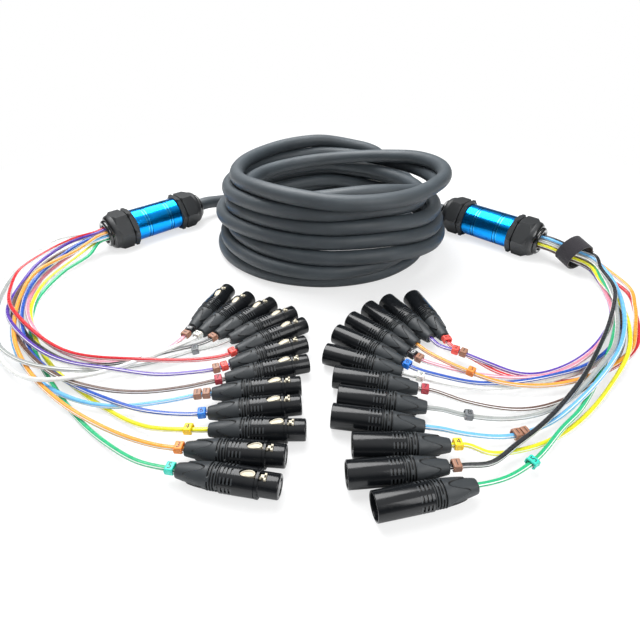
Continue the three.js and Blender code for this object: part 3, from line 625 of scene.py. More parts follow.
def route_places(controls, shares):
    """Places on a smooth curve through control points, at shares of its run of points."""
    last = len(controls) - 1
    points = np.vstack([2 * controls[0] - controls[1], controls, 2 * controls[-1] - controls[-2]])
    place = np.clip(np.asarray(shares) * last, 0, last)
    index = np.minimum(place.astype(int), last - 1)
    t = (place - index)[:, None]
    p0, p1, p2, p3 = (points[index + k] for k in range(4))
    d0, d1, d2 = (np.sqrt(np.linalg.norm(b - a, axis=1))[:, None] for a, b in ((p0, p1), (p1, p2), (p2, p3)))
    leave = ((p1 - p0) / d0 - (p2 - p0) / (d0 + d1) + (p2 - p1) / d1) * d1
    arrive = ((p2 - p1) / d1 - (p3 - p1) / (d1 + d2) + (p3 - p2) / d2) * d1
    square = 3 * (p2 - p1) - 2 * leave - arrive
    cube = 2 * (p1 - p2) + leave + arrive
    return p1 + leave * t + square * t**2 + cube * t**3


def run_of(line):
    """How far each point of a line lies along it."""
    return np.concatenate([[0.0], np.cumsum(np.linalg.norm(np.diff(line, axis=0), axis=1))])


def curve_run(controls):
    """Shares of a route's run of points, and the length up to each."""
    shares = np.linspace(0, 1, len(controls) * LENGTH_DIVISIONS_PER_POINT + 1)
    return shares, run_of(route_places(controls, shares))


def evenly_spaced(controls, count):
    """Points evenly spaced on the smooth curve through control points."""
    shares, gone = curve_run(controls)
    wanted = np.interp(np.linspace(0, gone[-1], count + 1), gone, shares)
    return route_places(controls, wanted)


def plan_supports(points, strand, spacing):
    """Where, seen from above, points lie within the spacing of a strand's segments."""
    start = strand[:-1, :2]
    step = strand[1:, :2] - start
    offset = points[:, None, :2] - start[None]
    share = np.clip((offset * step).sum(axis=2) / (step * step).sum(axis=1), 0, 1)
    away = np.linalg.norm(offset - share[..., None] * step, axis=2)
    i, j = np.nonzero(away < spacing)
    return zip(i.tolist(), j.tolist(), share[i, j].tolist(), np.sqrt(spacing**2 - away[i, j]**2).tolist())


def settle(points, pinned, laid, spacing, skip):
    """Lowers a strand's points onto the floor, onto strands laid before it and onto itself."""
    sag = spacing * SETTLE_SAG_SHARE
    heights = points[:, 2].tolist()
    base = list(heights)
    for strand in laid:
        for i, j, share, lift in plan_supports(points, strand, spacing):
            if not pinned[i]:
                base[i] = max(base[i], strand[j, 2] + share * (strand[j + 1, 2] - strand[j, 2]) + lift)
    on_self = [[] for _ in heights]
    for i, j, share, lift in plan_supports(points, points, spacing):
        if j + 1 < i - skip:
            on_self[i].append((j, share, lift))
    for _ in range(SETTLE_ROUNDS):
        for i in range(1, len(heights) - 1):
            if not pinned[i]:
                height = max(base[i], (heights[i - 1] + heights[i + 1]) / 2 - sag)
                for j, share, lift in on_self[i]:
                    height = max(height, heights[j] + share * (heights[j + 1] - heights[j]) + lift)
                heights[i] = height
    points[:, 2] = heights


def eased(points, pinned, lowest, rounds=EASE_ROUNDS):
    """A copy of a strand whose heights change more softly."""
    heights = points[:, 2].copy()
    for _ in range(rounds):
        soft = heights.copy()
        soft[1:-1] = (heights[:-2] + 2 * heights[1:-1] + heights[2:]) / 4
        heights = np.where(pinned, heights, np.maximum(soft, lowest))
    return np.column_stack([points[:, :2], heights])


def tube(name, line, diameter, sides):
    """A closed tube along a line, whose UV runs round it from its top and along it in metres."""
    line = np.asarray(line, float)
    along = np.gradient(line, axis=0)
    along /= np.linalg.norm(along, axis=1)[:, None]
    aside = np.cross(along, np.array(UP))
    aside /= np.linalg.norm(aside, axis=1)[:, None]
    above = np.cross(aside, along)
    turn = np.arange(sides) * math.tau / sides
    spoke = above[:, None] * np.cos(turn)[None, :, None] + aside[:, None] * np.sin(turn)[None, :, None]
    corners = (line[:, None] + spoke * diameter / 2).reshape(-1, 3)
    gone = run_of(line)
    faces = []
    places = []
    for i in range(len(line) - 1):
        for k in range(sides):
            after = (k + 1) % sides
            faces.append((i * sides + k, (i + 1) * sides + k, (i + 1) * sides + after, i * sides + after))
            u0, u1 = k / sides, (k + 1) / sides
            places += [(u0, gone[i]), (u0, gone[i + 1]), (u1, gone[i + 1]), (u1, gone[i])]
    last = (len(line) - 1) * sides
    for cap, at in ((range(sides), gone[0]), (reversed(range(last, last + sides)), gone[-1])):
        faces.append(tuple(cap))
        places += [(0.0, at)] * sides
    mesh = bpy.data.meshes.new(name)
    mesh.from_pydata([tuple(c) for c in corners], [], faces)
    mesh.uv_layers.new(name="strand").data.foreach_set("uv", np.array(places, np.float32).ravel())
    piece = bpy.data.objects.new(name, mesh)
    bpy.context.scene.collection.objects.link(piece)
    smooth(piece, 60.0)
    return piece


def fanout_reach(fanout):
    """Half the length of a fan-out, from its middle to a gland's mouth."""
    nut_start = fanout.flange_gap + fanout.flange_thickness + fanout.nut_gap
    return fanout.barrel_length / 2 + nut_start + fanout.nut_hex_length + fanout.nut_dome_length


def tail_heading(fanout, side):
    """Direction in which the tails leave a fan-out, where side is -1 on the left and 1 on the right."""
    return fanout.heading + math.pi if side < 0 else -fanout.heading


def fanout_point(fanout, side, distance):
    """A point on a fan-out's axis, as far from its middle as distance."""
    heading = tail_heading(fanout, side)
    return np.array([side * fanout.offset_x + distance * math.cos(heading),
                     -side * fanout.offset_y + distance * math.sin(heading), fanout.across_flats / 2])


def turn_offset(half_turns, spacing):
    """How far the coil lies outside its ellipse after some half turns."""
    last = len(TURN_OFFSET_SHARES) - 1
    i = min(math.floor(half_turns * 2), last - 1)
    share = half_turns * 2 - i
    before, start, end, after = (TURN_OFFSET_SHARES[min(max(k, 0), last)] for k in range(i - 1, i + 3))
    leave, arrive = (end - before) / 2, (after - start) / 2
    square = 3 * (end - start) - 2 * leave - arrive
    cube = 2 * (start - end) + leave + arrive
    return spacing * (start + leave * share + square * share**2 + cube * share**3)


def coil_plan(cable, half_turns):
    """The coil seen from above, after some half turns."""
    spacing = cable.diameter + cable.turn_gap
    turn = half_turns * math.pi
    offset = turn_offset(half_turns, spacing)
    rise = smoothstep(half_turns / cable.half_turns, TOP_SHIFT_START_SHARE, TOP_SHIFT_END_SHARE)
    return np.array([cable.centre_x + spacing * cable.top_shift_share * rise
                     + (cable.half_width + offset) * math.sin(turn),
                     cable.centre_y + (cable.half_depth + offset) * math.cos(turn), 0.0])


def cable_line(cable, fanout):
    """Middle line of the multicore, from the left fan-out through the coil to the right one."""
    reach = fanout_reach(fanout)
    ends = []
    for side in (-1, 1):
        mouth = fanout_point(fanout, side, -reach)
        straight = fanout_point(fanout, side, -reach - cable.diameter)
        ends.append([mouth, straight])
    stations = range(cable.half_turns * STATIONS_PER_HALF_TURN + 1)
    plan = np.array([
        *ends[0],
        *on_floor(LEFT_LEAD_ROUTE_MM),
        *[coil_plan(cable, i / STATIONS_PER_HALF_TURN) for i in stations],
        *on_floor(RIGHT_LEAD_ROUTE_MM),
        *reversed(ends[1]),
    ])
    plan[:, 2] = 0.0
    turn_length = math.pi * (cable.half_width + cable.half_depth)
    count = round(curve_run(plan)[1][-1] / turn_length * SAMPLES_PER_TURN)
    points = evenly_spaced(plan, count)
    away = [np.linalg.norm(points[:, :2] - end[:2], axis=1) for end in (plan[0], plan[-1])]
    pinned = np.minimum(*away) < cable.diameter * PINNED_DIAMETERS
    points[:, 2] = np.where(pinned, fanout.across_flats / 2, cable.diameter / 2)
    settle(points, pinned, [], cable.diameter + cable.turn_gap, SAMPLES_PER_TURN // 2)
    return points


def fan_places(first, headings_deg, advance_shares, length, connector, side):
    """Boot end and heading of each connector of a fan: each lies beside the one before."""
    places = []
    middle = np.array(first)
    for i, heading_deg in enumerate(headings_deg):
        if i > 0:
            mean = math.radians((heading_deg + headings_deg[i - 1]) / 2)
            spread = abs(heading_deg - headings_deg[i - 1]) * connector.spread_gap
            aside = -side * (connector.shell_diameter + connector.neighbour_gap + spread)
            ahead = advance_shares[i] * length
            middle = middle + ahead * np.array([math.cos(mean), math.sin(mean)])
            middle = middle + aside * np.array([math.sin(mean), -math.cos(mean)])
        heading = math.radians(heading_deg)
        along = np.array([math.cos(heading), math.sin(heading)])
        places.append((middle - along * length / 2, heading, along))
    return places


# Middle of the first connector of each fan
FEMALE_FIRST = (-0.107, -0.178)
MALE_FIRST = (0.103, -0.192)


def connector_places(connector, side):
    """Places of the twelve connectors of one side."""
    if side < 0:
        return fan_places(FEMALE_FIRST, FEMALE_HEADINGS_DEG, FEMALE_ADVANCE_SHARES,
                          connector.female_length, connector, side)
    return fan_places(MALE_FIRST, MALE_HEADINGS_DEG, MALE_ADVANCE_SHARES,
                      connector.male_length, connector, side)


def hole_place(slot, tail):
    """Place of a hole of the plug: how far to the outer side, and how far up."""
    radius = tail.ring_radius if slot[0] == "o" else tail.core_radius
    turn = math.radians(float(slot[1:]))
    return radius * math.cos(turn), radius * math.sin(turn)


def bundle_height(gone, fanout, tail):
    """Height of the bundle's middle, by the distance that it has gone from the plug."""
    fall = smoothstep(gone, tail.fall_start, tail.fall_start + tail.fall_length)
    top = fanout.across_flats / 2
    return top + fall * (tail.diameter / 2 - top)


def lines_of_tails(side, fanout, tail, tie, connector):
    """Middle lines of the twelve tails of one side, by channel."""
    left = side < 0
    routes = LEFT_TAIL_ROUTES_MM if left else RIGHT_TAIL_ROUTES_MM
    slots = LEFT_SLOTS if left else RIGHT_SLOTS
    order = LEFT_LAYING_ORDER if left else RIGHT_LAYING_ORDER
    hold = tail.hold_length if left else tail.tied_length
    reach = fanout_reach(fanout)
    stations = [reach - fanout.plug_recess - fanout.plug_length / 2, reach, reach + tail.exit_length]
    if not left:
        stations += [reach + tie.distance - tie.width / 2, reach + tie.distance + tie.width]
    heading = tail_heading(fanout, side)
    outward = np.array([-side * math.sin(heading), side * math.cos(heading), 0.0])
    places = connector_places(connector, side)
    radius = tail.diameter / 2
    spacing = tail.diameter + tail.gap
    laid = []
    lines = {}
    for channel in order:
        aside, above = hole_place(slots[channel - 1], tail)
        boot, _, along = places[channel - 1]
        end = boot - along * tail.boot_gap
        plan = [fanout_point(fanout, side, station) + outward * aside for station in stations]
        plan += on_floor(routes[channel - 1])
        plan += [(*(end - along * tail.straight_length), 0.0), (*end, 0.0)]
        plan = np.array(plan)
        plan[:, 2] = 0.0
        length = curve_run(plan)[1][-1]
        points = evenly_spaced(plan, TAIL_SAMPLES)
        gone = np.linspace(0, length, TAIL_SAMPLES + 1)
        left_over = length - gone
        spread = smoothstep(gone, hold, hold + tail.spread_length)
        low = bundle_height(gone, fanout, tail) + above * (1 - spread)
        rise = smoothstep(tail.rise_length - left_over, 0, tail.rise_length - tail.straight_length)
        into_boot = radius + rise * (connector.shell_diameter / 2 - radius)
        points[:, 2] = np.maximum(np.maximum(low, into_boot), radius)
        pinned = (gone < hold) | (left_over < tail.straight_length)
        settle(points, pinned, laid, spacing, TAIL_SAMPLES)
        laid.append(points)
        held = (gone < hold - tail.exit_length) | (left_over < tail.straight_length)
        points = eased(points, held, radius)
        if not left:
            past_tie = (gone > tie.distance) & (gone < hold + tail.spread_length * PAST_TIE_SHARE)
            points = eased(points, ~past_tie, radius, PAST_TIE_ROUNDS)
        entry = points[-1] + np.array([*along, 0.0]) * (tail.boot_gap + tail.boot_entry)
        lines[channel] = np.vstack([points, entry])
    return lines


# Middle, swing and width of the edge round a boot's tongues, along the boot
TONGUE_EDGE = (0.0132, 0.0064, 0.0007)
# Grooves of a boot's collar: where each lies along the boot, and the turn of its two bridges
COLLAR_GROOVES = ((0.0238, 2.40), (0.0257, 0.80), (0.0276, 1.75), (0.0295, 3.00))
GROOVE_HALF, GROOVE_EDGE, BRIDGE_HALF = 0.00038, 0.00025, 0.16
# Rows of short slots round a shell, along the connector
SLOT_ROWS = ((0.0328, 0.0340), (0.0353, 0.0365), (0.0378, 0.0390))
# The kind of connector on each side, and its parts
CONNECTOR_PARTS = {
    "left": ("female", ("boot", "shell", "contacts")),
    "right": ("male", ("boot", "shell", "pins")),
}


# Materials
class Pattern:
    """A node tree with short ways to add nodes to it."""

    def __init__(self, tree):
        self.nodes = tree.nodes
        self.links = tree.links

    def set(self, node, values):
        """Sets a node's sockets: a socket is linked, a plain value is written."""
        for key, value in values.items():
            if isinstance(value, bpy.types.NodeSocket):
                self.links.new(value, node.inputs[key])
            else:
                node.inputs[key].default_value = value

    def add(self, kind, values=None, **settings):
        """Adds a node with its settings and sockets."""
        node = self.nodes.new("ShaderNode" + kind)
        for key, value in settings.items():
            setattr(node, key, value)
        self.set(node, values or {})
        return node

    def place(self):
        """Coordinates of the piece in its own frame."""
        return self.add("TexCoord").outputs["Object"]

    def shape(self):
        """Coordinates that follow the shape of a copied piece."""
        return self.add("Attribute", attribute_name="shape").outputs["Vector"]

    def strand(self):
        """Coordinates round and along a tube."""
        return self.add("UVMap", uv_map="strand").outputs["UV"]

    def axes(self, vector):
        """The three numbers of a vector, by axis."""
        return self.add("SeparateXYZ", {"Vector": vector}).outputs

    def noise(self, vector, scale, detail=3.0, roughness=0.55):
        """A noise pattern, from 0 to 1."""
        values = {"Vector": vector, "Scale": scale, "Detail": detail, "Roughness": roughness}
        return self.add("TexNoise", values).outputs["Fac"]

    def stretched(self, vector, scale):
        """A vector scaled on each axis."""
        return self.add("Mapping", {"Vector": vector, "Scale": scale}).outputs["Vector"]

    def between(self, share, low, high, start=0.3, end=0.7):
        """A number that goes from low to high as a share goes from start to end."""
        values = {"Value": share, "From Min": start, "From Max": end, "To Min": low, "To Max": high}
        return self.add("MapRange", values).outputs["Result"]

    def mixed(self, share, first, second):
        """A colour between two others."""
        node = self.add("Mix", data_type="RGBA")
        for socket, value in ((node.inputs[0], share), (node.inputs[6], first), (node.inputs[7], second)):
            if isinstance(value, bpy.types.NodeSocket):
                self.links.new(value, socket)
            else:
                socket.default_value = (*value, 1.0)
        return node.outputs[2]

    def toned(self, share, colour, dark, pale):
        """A colour between a darker and a paler tone of itself."""
        return self.mixed(share, shaded(colour, dark), shaded(colour, pale))

    def blended(self, share, first, second):
        """A number between two others."""
        return self.add("Mix", {0: share, 2: first, 3: second}, data_type="FLOAT").outputs[0]

    def maths(self, operation, first, second=0.0):
        """One step of arithmetic."""
        return self.add("Math", {0: first, 1: second}, operation=operation).outputs[0]

    def plus(self, first, second):
        """The sum of two numbers."""
        return self.maths("ADD", first, second)

    def minus(self, first, second):
        """The difference of two numbers."""
        return self.maths("SUBTRACT", first, second)

    def times(self, first, second):
        """The product of two numbers."""
        return self.maths("MULTIPLY", first, second)

    def away(self, value, middle):
        """How far a number lies from a middle."""
        return self.maths("ABSOLUTE", self.minus(value, middle))

    def shader_mix(self, share, first, second):
        """A shader between two others."""
        return self.add("MixShader", {0: share, 1: first.outputs[0], 2: second.outputs[0]})

    def show(self, shader, output):
        """Makes a shader the one that is seen."""
        self.links.new(shader.outputs[0], self.nodes[output].inputs["Surface"])


class Finish(Pattern):
    """A material with its shader."""

    def __init__(self, name, colour, roughness, metallic=0.0):
        self.material = bpy.data.materials.new(name)
        self.material.use_nodes = True
        super().__init__(self.material.node_tree)
        self.shader = self.nodes["Principled BSDF"]
        self.wear({"Base Color": (*colour, 1.0), "Roughness": roughness, "Metallic": metallic})

    def wear(self, values):
        """Sets the shader's sockets."""
        self.set(self.shader, values)

    def bump(self, height, distance, strength=1.0):
        """Raises the surface by a pattern, in metres."""
        node = self.add("Bump", {"Height": height, "Distance": distance, "Strength": strength})
        self.wear({"Normal": node.outputs["Normal"]})


def shaded(colour, factor):
    """A colour made lighter or darker."""
    return tuple(min(1.0, channel * factor) for channel in colour)


def moulded(name, colour, roughness, grain_scale, grain_height, variation=0.25):
    """A moulded plastic or rubber: a fine grain, and a slow change of tone and gloss."""
    finish = Finish(name, colour, roughness)
    place = finish.place()
    tone = finish.noise(place, 60.0, 4.0)
    rubbed = finish.noise(place, 140.0)
    finish.wear({
        "Base Color": finish.toned(tone, colour, 1 - variation, 1 + variation),
        "Roughness": finish.between(rubbed, roughness * 0.85, min(1.0, roughness * 1.15)),
    })
    finish.bump(finish.noise(place, grain_scale, 2.0), grain_height)
    return finish


def cable_jacket_finish(colour):
    """Matt jacket of the multicore, through which the laid cores show a little; painted light makes the top
    of each turn paler and painted shade makes its underside darker.
    """
    finish = Finish("cable_jacket", colour, 0.5)
    strand = finish.strand()
    split = finish.axes(strand)
    lay = finish.plus(split["X"], finish.times(split["Y"], 7.0))
    cores = finish.maths("SINE", finish.times(lay, 7 * math.tau))
    place = finish.place()
    tone = finish.noise(place, 35.0, 5.0)
    # Painted shade and light: the tone runs from dark on the underside of the strand to pale on its top,
    # times a random tone.
    from_under = finish.away(split["X"], 0.5)
    painted_top_light = finish.between(from_under, 0.55, 1.3, 0.08, 0.46)
    tone = finish.times(finish.plus(tone, 0.5), finish.times(painted_top_light, 0.5))
    grain = finish.noise(place, 2600.0, 2.0)
    scuff = finish.noise(finish.stretched(strand, (24.0, 9.0, 1.0)), 3.0, 6.0, 0.7)
    finish.wear({
        # The wide tone range carries the painted shade and light as well as the random tone.
        "Base Color": finish.toned(tone, colour, 0.3, 1.75),
        "Roughness": finish.between(scuff, 0.42, 0.62),
        "Specular IOR Level": 0.55,
    })
    height = finish.plus(finish.times(cores, 0.25), grain)
    finish.bump(height, distance=0.00006)
    return finish.material


def tail_finish(name, stripe, ground, facing, painted_highlight_offset):
    """Glossy jacket of a tail: one side in the stripe's colour, which wanders a little round the tail, with
    a thin painted highlight of the ground colour inside the stripe.
    """
    finish = Finish(name, stripe, 0.28)
    strand = finish.strand()
    split = finish.axes(strand)
    start = finish.plus(split["Y"], facing * 10.0)
    values = {"W": start, "Scale": 6.0, "Detail": 1.0}
    wander = finish.add("TexNoise", values, noise_dimensions="1D").outputs["Fac"]
    turn = finish.plus(finish.times(wander, 0.26), facing + 0.370)
    around = finish.maths("FRACT", finish.plus(split["X"], finish.plus(turn, 10.0)))
    away = finish.away(around, 0.5)
    half_stripe, blur = 0.25, 0.012
    edge = finish.between(away, 0.0, 1.0, half_stripe - blur, half_stripe + blur)
    # Painted highlight: a thin line of the ground colour within the stripe, beside its middle.
    from_painted_highlight = finish.away(around, 0.5 + painted_highlight_offset)
    edge = finish.maths("MAXIMUM", edge, finish.between(from_painted_highlight, 1.0, 0.0, 0.018, 0.032))
    place = finish.place()
    tone = finish.noise(place, 90.0, 3.0)
    colour = finish.toned(tone, stripe, 0.85, 1.15)
    beside = finish.toned(tone, ground, 0.94, 1.03)
    finish.wear({
        "Base Color": finish.mixed(edge, colour, beside),
        "Roughness": finish.between(finish.noise(place, 300.0), 0.22, 0.36),
        "Coat Weight": 0.3,
    })
    finish.bump(finish.noise(place, 900.0, 2.0), distance=0.00002)
    return finish.material


def boot_finish(colour):
    """Soft matt rubber, with painted shade along the edge round each of the boot's tongues and in the
    collar's grooves.
    """
    finish = moulded("boot_rubber", colour, 0.5, grain_scale=1500.0, grain_height=0.00003, variation=0.15)
    split = finish.axes(finish.shape())
    turn = finish.times(finish.maths("ARCTAN2", split["Z"], split["Y"]), 4.0)
    # Painted shade: a dark line along the edge round each tongue, where the tongue stands proud of the cone.
    edge_middle, edge_swing, edge_width = TONGUE_EDGE
    swing = finish.times(finish.maths("COSINE", turn), edge_swing)
    edge = finish.plus(swing, edge_middle + edge_width * 0.25)
    away = finish.away(split["X"], edge)
    line = finish.between(away, 1.0, 0.0, edge_width * 0.8, edge_width * 1.25)
    # Painted shade in each of the collar's grooves, left out at the groove's two bridges.
    for centre, bridge in COLLAR_GROOVES:
        unfolded = finish.plus(finish.maths("DIVIDE", turn, 4.0), math.tau - bridge)
        fold = finish.maths("PINGPONG", unfolded, math.pi / 2)
        away = finish.away(split["X"], centre)
        inside = finish.between(away, 1.0, 0.0, GROOVE_HALF, GROOVE_HALF + GROOVE_EDGE)
        beside = finish.between(fold, 0.0, 1.0, BRIDGE_HALF, BRIDGE_HALF + 0.04)
        inside = finish.times(inside, beside)
        line = finish.maths("MAXIMUM", line, inside)
    # The painted shade darkens the rubber almost to black.
    plain = finish.shader.inputs["Base Color"].links[0].from_socket
    finish.wear({"Base Color": finish.mixed(line, plain, shaded(colour, 0.05))})
    return finish.material


def anodised_finish(fanout):
    """Anodised aluminium with the fine rings that turning leaves, with a painted highlight in its grooves
    and painted shade along their edges.
    """
    colour = tuple(fanout.anodised)
    finish = Finish("anodised_aluminium", colour, 0.22, 1.0)
    shape = finish.shape()
    rings = finish.noise(finish.stretched(shape, (9000.0, 30.0, 30.0)), 1.0, 3.0)
    tone = finish.noise(finish.stretched(shape, (60.0, 30.0, 30.0)), 1.0, 2.0)
    along = finish.maths("ABSOLUTE", finish.axes(shape)["X"])
    from_pair = finish.away(along, fanout.groove_place)
    from_groove = finish.away(from_pair, fanout.groove_pitch / 2)
    half = fanout.groove_width / 2
    # Painted highlight: the floor of each groove is painted a paler blue.
    groove = finish.between(from_groove, 1.0, 0.0, half, half * 1.2)
    # Painted shade: a dark line along each side of a groove.
    edge = finish.between(finish.away(from_groove, half * 1.5), 1.0, 0.0, half * 0.4, half * 0.6)
    plain = finish.toned(tone, colour, 0.9, 1.12)
    with_painted_edge_shade = finish.mixed(edge, plain, shaded(colour, 0.35))
    finish.wear({
        "Base Color": finish.mixed(groove, with_painted_edge_shade, (0.070, 0.540, 1.000)),
        "Roughness": finish.between(rings, 0.16, 0.28),
        "Coat Weight": 0.08,
        "Coat Roughness": 0.08,
    })
    finish.bump(rings, distance=0.000006)
    return finish.material


def gland_finish(colour, dome_start, dome_end):
    """Gland nylon: matt on the hexagon, polished on the dome."""
    finish = Finish("gland_nylon", colour, 0.45)
    shape = finish.shape()
    along = finish.axes(shape)["X"]
    polish = finish.between(along, 0.0, 1.0, dome_start, dome_end)
    grain = finish.noise(shape, 1500.0, 2.0)
    tone = finish.noise(shape, 80.0, 4.0)
    matt = finish.between(grain, 0.42, 0.58)
    plain = finish.toned(tone, colour, 0.85, 1.3)
    finish.wear({
        "Base Color": finish.mixed(polish, plain, shaded(colour, 0.3)),
        "Roughness": finish.blended(polish, matt, 0.10),
        "Coat Weight": finish.times(polish, 0.6),
        "Coat Roughness": 0.06,
    })
    finish.bump(grain, distance=0.00003)
    return finish.material


def shell_finish(colour):
    """Gloss black shell with light handling marks, a painted highlight on the rougher lands between its rows
    of slots, and painted shade in the slots.
    """
    finish = Finish("connector_shell", colour, 0.17)
    place = finish.place()
    smear = finish.noise(place, 220.0, 6.0, 0.7)
    split = finish.axes(finish.shape())
    turn = finish.maths("ARCTAN2", split["Z"], split["Y"])
    sector = finish.maths("FRACT", finish.plus(finish.times(turn, 9 / math.tau), 9.0))
    row_start, row_end = SLOT_ROWS[0][0], SLOT_ROWS[-1][1]
    pitch = SLOT_ROWS[1][0] - row_start
    along = split["X"]
    # The band of the slot rows, on the sectors where the slots lie: its lands get a painted highlight and
    # its slots painted shade.
    painted_light_band = finish.between(along, 0.0, 1.0, row_start - pitch * 0.4, row_start - pitch * 0.3)
    before_end = finish.between(along, 1.0, 0.0, row_end + pitch * 0.35, row_end + pitch * 0.5)
    painted_light_band = finish.times(painted_light_band, before_end)
    painted_light_band = finish.times(painted_light_band, finish.between(sector, 1.0, 0.0, 0.60, 0.64))
    rows = finish.maths("DIVIDE", finish.minus(along, row_start - pitch), pitch)
    in_row = finish.maths("FRACT", rows)
    slot_share = (SLOT_ROWS[0][1] - row_start) / pitch
    land = finish.between(in_row, 0.0, 1.0, slot_share, slot_share + 0.05)
    # inside marks the slots, which get painted shade; the band then narrows to the lands.
    inside = finish.times(painted_light_band, finish.minus(1.0, land))
    painted_light_band = finish.times(painted_light_band, land)
    gloss = finish.toned(finish.noise(place, 50.0), colour, 0.8, 1.3)
    # Painted highlight: the lands are painted paler than the gloss black.
    lands_with_painted_highlight = finish.mixed(painted_light_band, gloss, (0.036, 0.040, 0.044))
    finish.wear({
        # Painted shade: the slots are painted nearly black.
        "Base Color": finish.mixed(inside, lands_with_painted_highlight, (0.001, 0.001, 0.001)),
        "Roughness": finish.blended(painted_light_band, finish.between(smear, 0.12, 0.24), 0.30),
        "Specular IOR Level": 0.36,
        "Coat Weight": 0.04,
        "Coat Roughness": 0.1,
    })
    finish.bump(finish.noise(place, 700.0, 2.0), distance=0.000012)
    return finish.material


def metal_finish(name, colour, roughness, metallic=1.0):
    """Plated metal with fine brushing."""
    finish = Finish(name, colour, roughness, metallic)
    place = finish.place()
    brushing = finish.noise(finish.stretched(place, (400.0, 2500.0, 2500.0)), 1.0, 3.0)
    finish.wear({
        "Base Color": finish.toned(finish.noise(place, 150.0), colour, 0.9, 1.06),
        "Roughness": finish.between(brushing, roughness * 0.8, roughness * 1.3),
    })
    finish.bump(brushing, distance=0.000008)
    return finish.material


def webbing_finish(name, colour, loop_size):
    """The pile or hooks of a hook and loop strap."""
    finish = Finish(name, colour, 0.9)
    place = finish.place()
    cells = finish.add("TexVoronoi", {"Vector": place, "Scale": 1 / loop_size}).outputs["Distance"]
    fuzz = finish.noise(place, 2400.0, 4.0, 0.7)
    finish.wear({
        "Base Color": finish.toned(fuzz, colour, 0.5, 2.0),
        "Sheen Weight": 0.12,
        "Sheen Roughness": 0.5,
    })
    finish.bump(finish.plus(cells, fuzz), distance=0.0003, strength=0.8)
    return finish.material


# Operators
class SNAKE_OT_studio(bpy.types.Operator):
    """Makes the camera, the floor, the lamps and the even light"""
    bl_idname = "snake.studio"
    bl_label = "Studio"

    def execute(self, context):
        studio = context.scene.snake_studio
        self.add_camera(context, studio)
        self.add_floor(studio)
        self.add_lamps(studio)
        self.add_sky(context, studio)
        context.scene.view_settings.view_transform = "Standard"
        return {"FINISHED"}

    def add_camera(self, context, studio):
        deselect_all()
        bpy.ops.object.camera_add(location=(0.0, -studio.distance, studio.height),
                                  rotation=(math.pi / 2 - studio.pitch, 0.0, 0.0))
        camera = context.object
        camera.name = "photo_camera"
        camera.data.sensor_width = 36.0
        camera.data.lens = studio.lens_mm
        camera.data.clip_start = 0.01
        context.scene.camera = camera

    def add_floor(self, studio):
        deselect_all()
        bpy.ops.mesh.primitive_plane_add(size=studio.floor_size, location=(0.0, 0.0, 0.0))
        floor = bpy.context.object
        floor.name = "studio_floor"
        finish = Finish("studio_floor", studio.floor, 0.5)
        finish.wear({"Specular IOR Level": 0.25})
        away = finish.add("VectorMath", {"Vector": finish.place()}, operation="LENGTH").outputs["Value"]
        near_white, far_white = 0.64, 1.0
        near_distance, far_distance = 0.32, 0.66
        white = finish.between(away, near_white, far_white, near_distance, far_distance)
        seen = finish.times(finish.add("LightPath").outputs["Is Camera Ray"], white)
        glow = finish.add("Emission", {"Color": WHITE, "Strength": 1.0})
        finish.show(finish.shader_mix(seen, finish.shader, glow), "Material Output")
        dress(floor, finish.material)

    def add_lamps(self, studio):
        # Name, place, width, power
        lamps = (
            ("key_lamp", (-0.25, 0.35, 1.1), 1.0, studio.key_power),
            ("fill_lamp", (0.7, -0.9, 0.8), 0.7, studio.fill_power),
        )
        for name, place, width, power in lamps:
            deselect_all()
            bpy.ops.object.light_add(type="AREA", location=place)
            lamp = bpy.context.object
            lamp.name = name
            lamp.data.shape = "SQUARE"
            lamp.data.size = width
            lamp.data.energy = power
            lamp.rotation_euler = (-Vector(place)).to_track_quat("-Z", "Y").to_euler()

    def add_sky(self, context, studio):
        world = bpy.data.worlds.new("studio_sky")
        world.use_nodes = True
        sky = Pattern(world.node_tree)
        even = sky.nodes["Background"]
        sky.set(even, {"Color": WHITE, "Strength": studio.sky_level})
        facing = sky.axes(sky.add("NewGeometry").outputs["Incoming"])["Z"]
        rise = sky.between(facing, 0.95, 0.06, -0.95, -0.50)
        skyline = sky.between(facing, 0.0, 0.45, -0.30, -0.02)
        mirrored = sky.add("Background", {"Color": WHITE, "Strength": sky.plus(rise, skyline)})
        seen = sky.add("Background", {"Color": WHITE})
        rays = sky.add("LightPath").outputs
        inner = sky.shader_mix(rays["Is Glossy Ray"], even, mirrored)
        sky.show(sky.shader_mix(rays["Is Camera Ray"], inner, seen), "World Output")
        context.scene.world = world


class SNAKE_OT_cable(bpy.types.Operator):
    """Lays the multicore cable in its coil"""
    bl_idname = "snake.cable"
    bl_label = "Multicore cable"

    def execute(self, context):
        cable = context.scene.snake_cable
        fanout = context.scene.snake_fanout
        points = cable_line(cable, fanout)
        shares = np.linspace(0, 1, (len(points) - 1) * 3 + 1)
        line = route_places(points, shares)
        piece = tube("multicore_cable", line, cable.diameter + cable.swelling, cable.sides)
        dress(piece, cable_jacket_finish(tuple(cable.colour)))
        state(piece, "root", "trunk_jacket", "trunk_coil", "trunk_lead_left", "trunk_lead_right")
        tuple(line[0])
        return {"FINISHED"}


class SNAKE_OT_tails(bpy.types.Operator):
    """Lays the twelve tails of each side"""
    bl_idname = "snake.tails"
    bl_label = "Tails"

    def execute(self, context):
        scene = context.scene
        tail = scene.snake_tail
        for side, word, numbers in ((-1, "left", LEFT_NUMBERS), (1, "right", RIGHT_NUMBERS)):
            lines = lines_of_tails(side, scene.snake_fanout, tail, scene.snake_tie, scene.snake_connector)
            for channel in range(1, CHANNELS + 1):
                line = lines[channel]
                tail_lines[word, channel] = line
                name = f"{word}_tail_{channel:02d}"
                piece = tube(name, line, tail.diameter, tail.sides)
                facing = 0.06 * math.sin(2.4 * channel + side)
                stripe = STRIPE_COLOURS[numbers[channel - 1]]
                # The last value sets where the painted highlight line lies in the stripe, mirrored between
                # the sides.
                dress(piece, tail_finish(name, stripe, tuple(tail.ground), facing, -0.14 * side))
                state(piece, "root", "tail_jacket", f"{word}_fan_tails")
        return {"FINISHED"}


